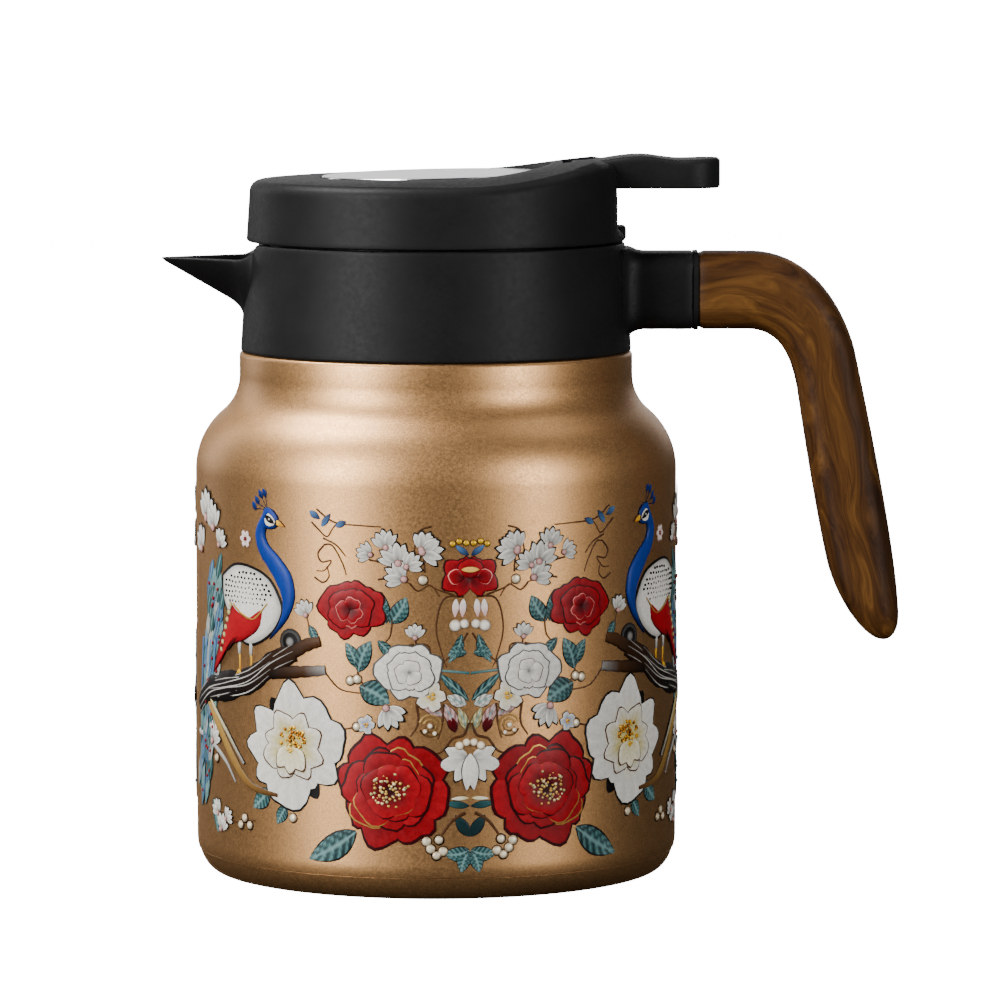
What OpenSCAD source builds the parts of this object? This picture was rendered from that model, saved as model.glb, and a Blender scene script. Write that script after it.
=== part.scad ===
// Vacuum pot with a screw lid, a thumb lever that opens the pouring valve, and a side handle.
// Z is up and Z = 0 is the face it stands on. The body's axis is the Z axis.
// X runs from the spout, at -X, to the handle, at +X.

/* [Body] */
// Outer radius of the body
body_r = 60; // [59:0.5:62]
// Height of the body, up to the collar
body_h = 130; // [126:1:140]
// Outer radius of the body's neck, just below the collar
neck_r = 49; // [48.5:0.1:49.5]
// Radius of the round shoulder
shoulder_r = 19; // [17:0.5:20]
// Radius of the hollow curve between shoulder and neck
waist_r = 11.8; // [11:0.2:13]
// Thickness of the steel walls
steel_t = 0.8; // [0.6:0.1:0.9]
// How far the liner's outside stands in from the body's outside
liner_inset = 4.8; // [4.6:0.1:5]
// Width of the rounded bottom corner
corner_w = 6; // [5:0.5:6.5]
// Height of the rounded bottom corner
corner_h = 9; // [8:0.5:10]
// Height of the seam between the shell and the base
seam_h = 6; // [5.5:0.1:6.5]

/* [Collar and spout] */
// Height of the collar
collar_h = 27; // [27:0.5:29]
// Radius of the collar at its top
collar_top_r = 47; // [46.8:0.1:47.5]
// Distance from the axis to the spout's tip
spout_reach = 68.6; // [64:0.2:70]
// Half of the spout's width where it meets the collar
spout_half_w = 16.5; // [15:0.5:18]
// Drop from the collar's rim to the spout's rim
spout_drop = 3.8; // [3.4:0.1:4]

/* [Handle] */
// Distance from the axis to the end of the arm
arm_reach = 64; // [63:0.5:66]
// Height of the arm's section
arm_h = 19.3; // [18.5:0.1:20]
// Width of the arm and of the grip
grip_w = 21; // [20:0.5:24]

/* [Lid] */
// Height of the lid's flat top above the collar's rim
lid_h = 15.4; // [15.4:0.1:16.5]
// Radius of the lid at its bottom edge
lid_r = 47.2; // [47:0.1:47.6]
// Rise of the two ears beside the lever, above the lid's flat top
ear_rise = 4.8; // [4:0.2:5]
// Radius of the inset plate
plate_r = 28.4; // [26:0.2:28.6]
// Tilt of the inset plate, up towards the handle
plate_tilt = 1.2; // [0.5:0.1:1.4]

/* [Lever and valve] */
// Width of the lever
lever_w = 20.6; // [19:0.2:20.8]
// Distance from the axis to the lever's outer end
lever_reach = 70.7; // [68:0.5:74]
// Radius of the hole that the valve closes
seat_r = 8; // [7:0.2:8.4]
// Turns of the valve spring
spring_turns = 7; // [5:1:9]

/* [Screw thread] */
// Rise of the lid in one full turn
thread_lead = 21; // [18:1:21]

/* [Hidden] */
$fn = 96;

// Colours
bronze = [0.72, 0.50, 0.29];
steel = [0.78, 0.78, 0.79];
black = [0.08, 0.08, 0.09];
walnut = [0.42, 0.25, 0.13];
silicone = [0.85, 0.85, 0.82];

// Body levels and curves
turn = acos((neck_r + waist_r - body_r + shoulder_r) / (shoulder_r + waist_r));
shoulder_z = body_h - 29.5;
waist_z = shoulder_z + (shoulder_r + waist_r) * sin(turn);
seam_angle = asin((corner_h - seam_h) / corner_h);
seam_step = 0.25;
foot_w = 3.5;
foot_rise = 2;
base_t = 1;
flange_top = 12;
dimple_r = 7;
dimple_h = 1.2;
vent_r = 1;
liner_foot = 9;
liner_corner = 12;

// Mouth of the flask, under the collar
mouth_r = neck_r - liner_inset - steel_t;
shell_neck_r = mouth_r + 1.9;
shell_neck_inner = shell_neck_r - steel_t;
mouth_z = body_h + 15;
bead_z = body_h + 7.7;
bead_h = 1.6;
bead_r = shell_neck_r + 0.6;
gasket_t = 1;
ring_flange_t = 1.5;
ring_wall_t = 1.2;
ring_outer_r = mouth_r - 0.2;
ring_inner_r = ring_outer_r - ring_wall_t;
ring_foot_z = body_h + 2;
ring_flange_z = mouth_z + steel_t + gasket_t;
chamber_z = ring_flange_z + ring_flange_t;
chamber_r = neck_r - 4.7;
collar_bore_r = shell_neck_r + 0.2;
rim_z = body_h + collar_h;
collar_r = neck_r - 0.3;

// Spout
spout_z = rim_z - spout_drop;
spout_tip_r = 0.9;
spout_depth = 13.7;
spout_wall = 2.4;
trough_depth = spout_z - chamber_z - 0.3;

// Arm and grip
arm_z = rim_z - 2.3 - arm_h / 2;
arm_corner = 6;
arm_w = grip_w - 1;
ferrule_t = 1.2;
grip_x = arm_reach + ferrule_t;
core_w = 8;
core_h = 9.6;
core_x = 50;
core_end = grip_x + 14;
core_play = 0.2;
screw_xs = [53.5, 60.5];
screw_r = 1.5;
screw_head_r = 2.8;
screw_head_t = 1.8;
socket_r = 1.25;
plug_t = 0.8;

// Screw thread of the stopper
thread_starts = 3;
stopper_r = 40.2;
male_r = 41.5;
female_r = 40.6;
thread_foot = 1.5;
thread_crest = 0.7;
male_z = body_h + 7.5;
male_sweep = 75;
female_sweep = 110;

// Stopper
seal_t = 1.3;
flange_z = chamber_z + seal_t;
flange_t = 1.4;
stopper_z = body_h - 9;
stopper_floor = 2;
stopper_bore = 38;
seat_h = 2;
seat_z = stopper_z + stopper_floor + seat_h;
barrel_r = 42.6;
port_w = 24;
deck_t = 1.5;
deck_r = chamber_r - 0.3;

// Lid
skirt_gap = 0.3;
skirt_t = 2.2;
lid_z = rim_z + lid_h;
ceiling_z = lid_z - 1.8;
lid_top_r = lid_r - 1;
edge_r = 2.5;
ramp_start = 14;
ramp_end = 39;
ear_z = lid_z + ear_rise;
rear_x = 45.1;
plate_t = 0.8;
plate_lift = 1.6;
plate_z = lid_z + plate_lift;
rim_w = 0.9;
slot_play = 0.25;
screw_ring_r = 22;
lid_screw_angles = [60, 180, 300];
boss_r = 3.6;
boss_top = lid_z - 4;
head_seat = lid_z - 1.4;
lid_head_r = 3;
lid_head_t = 1.4;
lid_screw_r = 1.3;
tab_reach = rear_x + 2.3;
tab_w = 10;
tab_h = 3.2;
slot_x = 31.5;
slot_mouth_x = 43;

// Lever, with its pivot in the ears
pivot_x = 41;
pivot_z = rim_z + 16.2;
pin_r = 1.5;
pin_half_l = 17.5;
lever_low = rim_z + 13.6;
lever_top = [[33.9, 4.5], [50.8, 6.3], [60.7, 5.3], [70.7, 5.6]];
lever_stretch = lever_reach / 70.7;
fork_z = rim_z + 3.2;
fork_t = 2;
fork_bump = 0.7;
fork_slot = 3.2;
fork_w = 6.4;
fork_reach = 5.5;
fork_slot_end = 8;
inner_arm_w = 16;
eye_r = 3.6;
pad_corner = 8;

// Valve
stem_r = 2;
stem_bore = 2.08;
guide_r = 4.2;
guide_z = rim_z - 7;
deck_boss_z = rim_z + 2.6;
seal_ring_r = 4;
seal_ring_z = rim_z + 0.6;
gasket_r = 11.2;
valve_seal_t = 1.6;
disc_z = seat_z + valve_seal_t;
disc_t = 2.4;
hub_r = 4;
hub_h = 2;
cap_z = fork_z + fork_t + fork_bump + 0.3;
cap_t = 1.8;
cap_r = 5.5;
spring_r = 5.2;
spring_wire = 0.45;
spring_low = disc_z + disc_t + spring_wire;
spring_high = rim_z - spring_wire;

// Points of an arc about c, from angle a0 to angle a1
function arc(c, rx, ry, a0, a1, n = 12) =
    [for (i = [0 : n]) c + [rx * cos(a0 + (a1 - a0) * i / n), ry * sin(a0 + (a1 - a0) * i / n)]];

function backwards(p) = [for (i = [len(p) - 1 : -1 : 0]) p[i]];

// Body wall at inset d, from height z up over the shoulder to the foot of the neck
function wall_line(d, z) = concat(
    [[body_r - d, z]],
    arc([body_r - shoulder_r, shoulder_z], shoulder_r - d, shoulder_r - d, 0, turn),
    arc([neck_r + waist_r, waist_z], waist_r + d, waist_r + d, 180 + turn, 180));

// Rounded bottom corner at inset d, from angle a0 to angle a1 below the horizontal
function corner_line(d, a0, a1) =
    arc([body_r - corner_w, corner_h], corner_w - d, corner_h - d, -a0, -a1);

// Point at t along a cubic curve through p[0] and p[3]
function cubic(p, t) =
    pow(1 - t, 3) * p[0] + 3 * t * pow(1 - t, 2) * p[1] + 3 * t * t * (1 - t) * p[2] + pow(t, 3) * p[3];

// Height at x of a wave that eases from one knot to the next
function wave(k, x, i = 0) =
    i >= len(k) - 2 || x <= k[i + 1][0]
        ? k[i][1] + (k[i + 1][1] - k[i][1]) * (1 - cos(180 * (x - k[i][0]) / (k[i + 1][0] - k[i][0]))) / 2
        : wave(k, x, i + 1);

// Solid from rings of points that all have the same count, closed at both ends
module loft(rings) {
    n = len(rings[0]);
    last = len(rings) - 1;
    sides = [for (i = [0 : last - 1]) for (j = [0 : n - 1])
        [i * n + j, i * n + (j + 1) % n, (i + 1) * n + (j + 1) % n, (i + 1) * n + j]];
    ends = [[for (j = [n - 1 : -1 : 0]) j], [for (j = [0 : n - 1]) last * n + j]];
    polyhedron(points = [for (r = rings) for (p = r) p], faces = concat(sides, ends), convexity = 6);
}

module ring(r_in, r_out, z, h) {
    translate([0, 0, z]) difference() {
        cylinder(r = r_out, h = h);
        translate([0, 0, -1]) cylinder(r = r_in, h = h + 2);
    }
}

// Rectangle with round corners, centred
module rounded_rect(w, h, r) {
    square([w - 2 * r, h], center = true);
    square([w, h - 2 * r], center = true);
    for (sx = [-1, 1], sy = [-1, 1]) translate([sx * (w / 2 - r), sy * (h / 2 - r)]) circle(r);
}

// Outline in the X-Z plane, made w thick across Y
module across(w) {
    rotate([90, 0, 0]) linear_extrude(height = w, center = true) children();
}

// Helical ridges from radius r0 to radius r1, one for each thread start
module ridges(r0, r1, z, sweep, start) {
    steps = ceil(sweep / 7.5);
    section = [[r0, -thread_foot], [r1, -thread_crest], [r1, thread_crest], [r0, thread_foot]];
    for (k = [0 : thread_starts - 1]) loft([for (i = [0 : steps])
        let (
            a = start + 360 * k / thread_starts + sweep * i / steps,
            h = z + thread_lead * sweep * i / steps / 360
        )
        [for (p = r1 > r0 ? section : backwards(section)) [p[0] * cos(a), p[0] * sin(a), h + p[1]]]]);
}

module outer_shell() {
    outside = concat(corner_line(0, seam_angle, 0), wall_line(0, corner_h + 1),
        [[neck_r, body_h - 0.6], [neck_r - 0.6, body_h], [shell_neck_r, body_h],
        [shell_neck_r, bead_z - 0.5], [bead_r, bead_z], [bead_r, bead_z + bead_h],
        [shell_neck_r, bead_z + bead_h + 0.5], [shell_neck_r, mouth_z]]);
    inside = concat(corner_line(steel_t, seam_angle, 0), wall_line(steel_t, corner_h + 1),
        [[neck_r - steel_t, body_h - steel_t], [shell_neck_inner, body_h - steel_t],
        [shell_neck_inner, mouth_z]]);
    color(bronze) rotate_extrude() polygon(concat(outside, backwards(inside)));
}

module base_cup() {
    foot_r = body_r - corner_w;
    lip_r = body_r - steel_t - 0.5;
    weld_r = body_r - steel_t - 0.05;
    profile = concat(
        [[weld_r, flange_top], [weld_r, corner_h + 0.8], [lip_r, corner_h - 0.6], [lip_r, seam_h]],
        corner_line(seam_step, seam_angle, 90),
        [[foot_r - foot_w, seam_step], [foot_r - foot_w - 1, foot_rise], [dimple_r + 1, foot_rise],
        [dimple_r, foot_rise + dimple_h], [vent_r, foot_rise + dimple_h],
        [vent_r, foot_rise + dimple_h + base_t], [dimple_r + 1, foot_rise + dimple_h + base_t],
        [dimple_r + 2, foot_rise + base_t], [foot_r - foot_w, foot_rise + base_t]],
        backwards(corner_line(seam_step + base_t, seam_angle, 75)),
        [[lip_r - base_t, seam_h + 1], [lip_r - base_t, flange_top]]);
    color(bronze) translate([0, 0, -seam_step]) rotate_extrude() polygon(profile);
}

module evacuation_seal() {
    color(steel) translate([0, 0, foot_rise + dimple_h - seam_step - 0.8]) cylinder(r = 5, h = 0.8);
}

module inner_liner() {
    c = [body_r - liner_inset - liner_corner, liner_foot + liner_corner];
    outside = concat([[0, liner_foot]], arc(c, liner_corner, liner_corner, -90, 0),
        wall_line(liner_inset, c[1] + 1),
        [[mouth_r + steel_t, mouth_z], [shell_neck_r, mouth_z], [shell_neck_r, mouth_z + steel_t]]);
    inset = liner_inset + steel_t;
    inner_corner = liner_corner - steel_t;
    inside = concat([[0, liner_foot + steel_t]], arc(c, inner_corner, inner_corner, -90, 0),
        wall_line(inset, c[1] + 1), [[mouth_r, mouth_z + steel_t]]);
    color(steel) rotate_extrude() polygon(concat(outside, backwards(inside)));
}

module getter() {
    color(steel) translate([0, 0, liner_foot - 1.4]) difference() {
        cylinder(r = 8, h = 1.4);
        translate([0, 0, -1]) cylinder(r = 6, h = 1.6);
    }
}

// Pouring beak: a narrow wedge that rises from the collar to its tip
module beak(reach, tip_r, half_w, depth, top) {
    hull() {
        translate([-reach + tip_r, 0, spout_z - tip_r + top]) sphere(r = tip_r, $fn = 16);
        translate([-chamber_r, 0, spout_z]) scale([1, half_w, depth]) rotate([0, 90, 0])
            cylinder(r = 1, h = 2, center = true, $fn = 32);
    }
}

module collar() {
    edge = 0.6;
    wall = [[collar_bore_r, body_h], [collar_r - edge, body_h], [collar_r, body_h + edge],
        [collar_top_r, rim_z - edge], [collar_top_r - edge, rim_z], [chamber_r, rim_z],
        [chamber_r, chamber_z], [collar_bore_r, chamber_z], [collar_bore_r, bead_z + bead_h + 0.8],
        [bead_r + 0.2, bead_z + bead_h + 0.2], [bead_r + 0.2, bead_z - 0.2],
        [collar_bore_r, bead_z - 0.8]];
    color(black) difference() {
        union() {
            rotate_extrude() polygon(wall);
            difference() {
                beak(spout_reach, spout_tip_r, spout_half_w, spout_depth, 0);
                translate([-100, -50, spout_z]) cube([100, 100, 50]);
                translate([0, 0, body_h]) cylinder(r = collar_bore_r + 1, h = 40);
            }
            difference() {
                union() {
                    translate([44, 0, arm_z]) rotate([90, 0, 90])
                        linear_extrude(height = arm_reach - 44) rounded_rect(arm_w, arm_h, arm_corner);
                    gusset();
                }
                cylinder(r = collar_bore_r + 1, h = rim_z);
            }
        }
        beak(spout_reach - spout_wall, 0.6, spout_half_w - spout_wall, trough_depth, 0.6);
        translate([-collar_top_r - 2, -spout_half_w + spout_wall, spout_z - 1])
            cube([6, 2 * (spout_half_w - spout_wall), 10]);
        translate([core_x - core_play, 0, arm_z]) core_bar(arm_reach, core_play);
        for (x = screw_xs) translate([x, 0, arm_z - arm_h / 2 - 1]) {
            cylinder(r = screw_head_r + 0.2, h = 1 + plug_t + screw_head_t);
            cylinder(r = screw_r + 0.3, h = arm_h / 2);
        }
    }
}

// Web that carries the arm's load down into the collar
module gusset() {
    low = arm_z - arm_h / 2;
    across(arm_w - 2 * arm_corner)
        polygon(concat([[44, low + 2], [44, low - 4.5]],
            arc([52.5, low - 4.5], 5, 4.5, 180, 90, 6), [[52.5, low + 2]]));
}

// Rectangular bar along X, from 0 to the given end, made larger by play all round
module core_bar(end, play) {
    translate([0, -core_w / 2 - play, -core_h / 2 - play])
        cube([end, core_w + 2 * play, core_h + 2 * play]);
}

module neck_ring() {
    wall = [[ring_inner_r, ring_foot_z], [ring_outer_r - 0.4, ring_foot_z],
        [ring_outer_r, ring_foot_z + 0.4], [ring_outer_r, ring_flange_z],
        [shell_neck_r, ring_flange_z], [shell_neck_r, chamber_z], [ring_inner_r, chamber_z]];
    color(black) {
        rotate_extrude() polygon(wall);
        ridges(ring_inner_r + 0.4, female_r, male_z, female_sweep, -180 / thread_starts);
    }
}

module mouth_gasket() {
    color(silicone) ring(mouth_r, shell_neck_r, mouth_z + steel_t, gasket_t);
}

module ferrule() {
    color(black) translate([arm_reach, 0, arm_z]) difference() {
        rotate([90, 0, 90]) linear_extrude(height = ferrule_t)
            rounded_rect(grip_w - 0.4, arm_h + 0.1, arm_corner);
        translate([-1, 0, 0]) core_bar(ferrule_t + 2, core_play);
    }
}

module handle_core() {
    color(steel) difference() {
        translate([core_x, 0, arm_z]) core_bar(core_end - core_x, 0);
        for (x = screw_xs) translate([x, 0, arm_z - arm_h / 2]) cylinder(r = screw_r + 0.1, h = arm_h - 3);
    }
}

// Side view of the grip: matched curves of its outer and inner edges, measured from the arm's axis
function grip_edges(x, r) = [
    [[[x, r], [x + 4, r], [x + 8, r], [x + 13, r]],
        [[x, -r], [x + 4, -r], [x + 8, -r], [x + 12, -r]]],
    [[[x + 13, r], [x + 25, r], [x + 34.5, 1], [x + 39, -14]],
        [[x + 12, -r], [x + 19, -r], [x + 23, -14], [x + 25, -25]]],
    [[[x + 39, -14], [x + 42, -28], [x + 50, -65], [x + 50.5, -81]],
        [[x + 25, -25], [x + 26.5, -35], [x + 29.5, -54], [x + 32.5, -67.5]]],
    [[[x + 50.5, -81], [x + 50.6, -85], [x + 49, -87.5], [x + 46.5, -87.5]],
        [[x + 32.5, -67.5], [x + 34.5, -76.5], [x + 41, -86.5], [x + 46, -87.5]]]];

// One ring of the grip: a rounded oblong between matching points of the two edges
function grip_ring(top, low, half_w) =
    let (mid = (top + low) / 2, arm = (top - low) / 2)
    [for (j = [0 : 27])
        let (
            a = 360 * j / 28,
            u = sign(cos(a)) * pow(abs(cos(a)), 0.62),
            v = sign(sin(a)) * pow(abs(sin(a)), 0.62)
        )
        [mid[0] + arm[0] * u, half_w * v, mid[1] + arm[1] * u]];

module handle_grip() {
    edges = grip_edges(grip_x, arm_h / 2);
    steps = [2, 10, 9, 7];
    rings = [for (s = [0 : 3]) for (i = [(s == 0 ? 0 : 1) : steps[s] - (s == 3 ? 1 : 0)])
        let (t = i / steps[s])
        grip_ring(cubic(edges[s][0], t), cubic(edges[s][1], t),
            grip_w / 2 * (s == 3 ? sqrt(1 - t * t) : 1))];
    color(walnut) difference() {
        translate([0, 0, arm_z]) loft(rings);
        translate([grip_x - 1, 0, arm_z]) core_bar(core_end - grip_x + 1 + core_play, core_play);
    }
}

module grip_screws() {
    head_z = arm_z - arm_h / 2 + plug_t;
    screw_l = arm_h - 6;
    color(steel) for (x = screw_xs) translate([x, 0, head_z]) difference() {
        union() {
            cylinder(r = screw_head_r, h = screw_head_t);
            cylinder(r = screw_r, h = screw_l);
        }
        translate([0, 0, -1]) cylinder(r = socket_r, h = 2, $fn = 6);
    }
}

module screw_plugs() {
    color(black) for (x = screw_xs) translate([x, 0, arm_z - arm_h / 2 - 0.1])
        cylinder(r = screw_head_r + 0.1, h = plug_t + 0.1);
}

module stopper_gasket() {
    color(silicone) ring(stopper_r + 0.5, chamber_r - 0.3, chamber_z, seal_t);
}

module lid_cover() {
    color(black) difference() {
        union() {
            difference() {
                rotate_extrude() polygon([[0, rim_z + skirt_gap], [lid_r - 0.4, rim_z + skirt_gap],
                    [lid_r, rim_z + skirt_gap + 0.5], [lid_top_r, lid_z], [lid_top_r, ear_z + 1],
                    [0, ear_z + 1]]);
                above_lid();
                lid_hollow();
            }
            intersection() {
                tilted() translate([0, 0, -plate_lift - 1.5])
                    cylinder(r = plate_r + rim_w, h = plate_lift + 1.3);
                translate([0, 0, ceiling_z]) cylinder(r = lid_top_r, h = 10);
            }
            for (a = lid_screw_angles) rotate([0, 0, a])
                translate([screw_ring_r, 0, boss_top])
                    cylinder(r = boss_r, h = ceiling_z - boss_top + 0.5);
            translate([rear_x - 1, -tab_w / 2, rim_z + 0.8]) cube([tab_reach - rear_x + 1, tab_w, tab_h]);
        }
        tilted() translate([0, 0, -plate_t]) cylinder(r = plate_r + 0.15, h = 5);
        lever_slot();
        translate([rear_x, -15, rim_z + 5]) cube([10, 30, 30]);
        translate([pivot_x, 0, pivot_z]) rotate([90, 0, 0])
            cylinder(r = pin_r, h = 2 * pin_half_l, center = true);
        for (a = lid_screw_angles) rotate([0, 0, a]) translate([screw_ring_r, 0, 0]) {
            translate([0, 0, head_seat]) cylinder(r = lid_head_r + 0.2, h = 10);
            translate([0, 0, boss_top - 1]) cylinder(r = lid_screw_r + 0.4, h = 10);
        }
    }
}

// The plane of the inset plate's face
module tilted() {
    translate([0, 0, plate_z]) rotate([0, -plate_tilt, 0]) children();
}

// Everything above the lid's top: flat, then a ramp that steepens up to the ears
module above_lid() {
    ramp = [for (i = [0 : 10]) let (t = i / 10)
        [ramp_start + (ramp_end - ramp_start) * t, lid_z + ear_rise * t * t]];
    across(3 * lid_r) polygon(concat([[-body_r, lid_z + 30], [-body_r, lid_z]], ramp,
        [[rear_x - 1.5, ear_z], [rear_x + 0.5, ear_z - 2], [rear_x + 10, ear_z - 2],
        [rear_x + 10, lid_z + 30]]));
}

// Hollow under the lid's ceiling, as far as the skirt
module lid_hollow() {
    low = rim_z - 1;
    inner_r = lid_r - skirt_t - 0.4;
    rotate_extrude() polygon([[0, low], [inner_r, low], [inner_r, rim_z + 4],
        [lid_top_r - skirt_t, ceiling_z - edge_r], [lid_top_r - skirt_t - edge_r, ceiling_z],
        [0, ceiling_z]]);
}

// Way through the lid's top for the lever, open at the back
module lever_slot() {
    half = lever_w / 2 + slot_play;
    translate([slot_x, -half, lever_low - 2]) cube([lever_reach - slot_x, 2 * half, 20]);
    translate([slot_x, -half, ceiling_z - 8]) cube([slot_mouth_x - slot_x, 2 * half, 20]);
}

module badge_plate() {
    color(steel) tilted() translate([0, 0, -plate_t]) cylinder(r = plate_r, h = plate_t);
}

module stopper_body() {
    top = rim_z;
    wall = [[seat_r, stopper_z], [stopper_r - 3, stopper_z], [stopper_r - 0.6, stopper_z + 2.4],
        [stopper_r - 0.6, male_z - 4], [stopper_r, male_z - 3.4], [stopper_r, flange_z],
        [deck_r - 0.1, flange_z], [deck_r - 0.1, flange_z + flange_t], [barrel_r, flange_z + flange_t],
        [barrel_r, top], [stopper_bore, top], [stopper_bore, stopper_z + stopper_floor + 2],
        [stopper_bore - 2, stopper_z + stopper_floor], [seat_r + 3, stopper_z + stopper_floor],
        [seat_r + 2, seat_z], [seat_r, seat_z]];
    color(black) {
        difference() {
            rotate_extrude() polygon(wall);
            translate([-barrel_r - 3, -port_w / 2, flange_z + flange_t]) cube([12, port_w, 20]);
        }
        ridges(stopper_r - 0.4, male_r, male_z, male_sweep, 0);
    }
}

module stopper_deck() {
    color(black) difference() {
        union() {
            translate([0, 0, rim_z]) cylinder(r = deck_r, h = deck_t);
            translate([0, 0, guide_z]) cylinder(r = guide_r, h = rim_z - guide_z);
            translate([0, 0, rim_z]) cylinder(r = seal_ring_r + 1.4, h = deck_boss_z - rim_z);
            for (a = lid_screw_angles) rotate([0, 0, a])
                translate([screw_ring_r, 0, rim_z]) cylinder(r = boss_r - 0.2, h = boss_top - rim_z);
        }
        translate([0, 0, guide_z - 1]) cylinder(r = stem_bore, h = 20);
        translate([0, 0, seal_ring_z]) cylinder(r = seal_ring_r, h = 10);
        for (a = lid_screw_angles) rotate([0, 0, a])
            translate([screw_ring_r, 0, rim_z + deck_t]) cylinder(r = lid_screw_r + 0.1, h = 20);
    }
}

module stem_seal() {
    color(silicone) ring(stem_bore, seal_ring_r, seal_ring_z, deck_boss_z - seal_ring_z);
}

module lid_screws() {
    screw_foot = rim_z + deck_t + 1;
    color(steel) for (a = lid_screw_angles) rotate([0, 0, a]) translate([screw_ring_r, 0, 0])
        difference() {
            union() {
                translate([0, 0, head_seat]) cylinder(r = lid_head_r, h = lid_head_t);
                translate([0, 0, screw_foot]) cylinder(r = lid_screw_r, h = head_seat - screw_foot);
            }
            translate([0, 0, head_seat + 0.5]) cylinder(r = socket_r, h = 2, $fn = 6);
        }
}

module lever_pin() {
    color(steel) translate([pivot_x, 0, pivot_z]) rotate([90, 0, 0])
        cylinder(r = pin_r, h = 2 * pin_half_l, center = true);
}

module valve_spring() {
    steps = 14 * spring_turns;
    rise = spring_high - spring_low;
    color(steel) loft([for (i = [0 : steps])
        let (a = 360 * spring_turns * i / steps, z = spring_low + rise * i / steps)
        [for (j = [0 : 5])
            let (r = spring_r + spring_wire * cos(60 * j))
            [r * cos(a), r * sin(a), z + spring_wire * sin(60 * j)]]]);
}

// Side view of the lever's thumb pad, from its inner tip to its outer end
module pad_outline() {
    knots = [for (p = lever_top) [pivot_x + (p[0] - pivot_x) * lever_stretch, lid_z + p[1]]];
    first = knots[0][0];
    last = knots[3][0];
    top = [for (i = [0 : 24]) let (x = first + (last - first) * i / 24) [x, wave(knots, x)]];
    polygon(concat(top, [[last, lever_low + 0.8], [last - 0.8, lever_low], [pivot_x + 4, lever_low],
        [pivot_x, pivot_z - 3.6], [pivot_x - 3, pivot_z - 2], [first, lid_z + lever_top[0][1] - 0.7]]));
}

// Side view of the lever's inner arm, which runs under the lid's ceiling to the valve stem
module arm_outline() {
    top = fork_z + fork_t;
    polygon([[pivot_x - 4, pivot_z + 1], [pivot_x - 11, top + 2], [pivot_x - 19, top],
        [-fork_reach, top], [-fork_reach, fork_z], [pivot_x - 13, fork_z], [pivot_x - 5, fork_z + 1.5],
        [pivot_x + 2, pivot_z - 3.4]]);
    translate([pivot_x, pivot_z]) circle(r = eye_r);
}

// Top view of the lever's thumb pad, with a rounded outer end
module pad_plan() {
    corner_x = lever_reach - pad_corner;
    translate([30, -lever_w / 2]) square([corner_x - 30, lever_w]);
    translate([corner_x, 0]) square([2 * pad_corner, lever_w - 2 * pad_corner], center = true);
    for (s = [-1, 1]) translate([corner_x, s * (lever_w / 2 - pad_corner)]) circle(pad_corner);
}

module lever() {
    color(black) difference() {
        union() {
            intersection() {
                across(lever_w) pad_outline();
                translate([0, 0, lever_low - 5]) linear_extrude(height = 20) pad_plan();
            }
            across(inner_arm_w) arm_outline();
            translate([0, 0, fork_z + fork_t]) rotate([90, 0, 0])
                cylinder(r = fork_bump, h = 2 * fork_w, center = true);
        }
        translate([-10, -fork_slot, fork_z - 5]) cube([fork_slot_end + 10, 2 * fork_slot, 20]);
        for (s = [-1, 1]) translate([-10, s * (fork_w + 5) - 5, fork_z - 5])
            cube([fork_slot_end + 10, 10, 20]);
        translate([pivot_x, 0, pivot_z]) rotate([90, 0, 0])
            cylinder(r = pin_r + 0.06, h = 50, center = true);
    }
}

module valve_stem() {
    color(steel) translate([0, 0, seat_z]) cylinder(r = stem_r, h = cap_z + cap_t - seat_z);
}

module valve_disc() {
    color(black) difference() {
        translate([0, 0, disc_z]) {
            cylinder(r = gasket_r - 0.4, h = disc_t);
            cylinder(r = hub_r, h = disc_t + hub_h);
        }
        translate([0, 0, disc_z - 1]) cylinder(r = stem_r, h = 20);
    }
}

module valve_gasket() {
    color(silicone) ring(stem_r, gasket_r, seat_z, valve_seal_t);
}

module stem_cap() {
    color(black) ring(stem_r, cap_r, cap_z, cap_t);
}

outer_shell();
base_cup();
evacuation_seal();
inner_liner();
getter();
collar();
neck_ring();
mouth_gasket();
ferrule();
handle_core();
handle_grip();
grip_screws();
screw_plugs();
stopper_gasket();
lid_cover();
badge_plate();
stopper_body();
stopper_deck();
stem_seal();
lid_screws();
lever_pin();
valve_spring();
lever();
valve_stem();
valve_disc();
valve_gasket();
stem_cap();
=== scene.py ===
"""Looks of the vacuum pot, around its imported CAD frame. Lengths are in mm until a mesh is made."""

import math
import random

import bmesh
import bpy
import numpy as np
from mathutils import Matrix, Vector


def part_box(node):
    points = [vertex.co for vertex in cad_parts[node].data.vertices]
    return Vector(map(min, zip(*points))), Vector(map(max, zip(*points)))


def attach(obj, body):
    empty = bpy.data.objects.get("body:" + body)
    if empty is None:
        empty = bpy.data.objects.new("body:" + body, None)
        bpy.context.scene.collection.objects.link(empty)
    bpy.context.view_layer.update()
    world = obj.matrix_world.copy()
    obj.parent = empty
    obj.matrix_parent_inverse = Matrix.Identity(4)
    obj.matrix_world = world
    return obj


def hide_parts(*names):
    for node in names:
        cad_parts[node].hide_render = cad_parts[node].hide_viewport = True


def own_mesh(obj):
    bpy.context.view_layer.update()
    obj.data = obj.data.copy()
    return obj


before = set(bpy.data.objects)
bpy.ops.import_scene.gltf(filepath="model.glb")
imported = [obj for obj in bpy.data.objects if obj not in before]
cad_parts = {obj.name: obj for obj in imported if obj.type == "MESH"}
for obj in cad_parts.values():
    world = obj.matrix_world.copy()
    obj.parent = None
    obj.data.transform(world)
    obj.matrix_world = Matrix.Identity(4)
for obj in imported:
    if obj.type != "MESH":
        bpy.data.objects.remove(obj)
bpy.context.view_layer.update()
MM = 0.001

# ---- sizes, from the frame where it holds them


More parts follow.
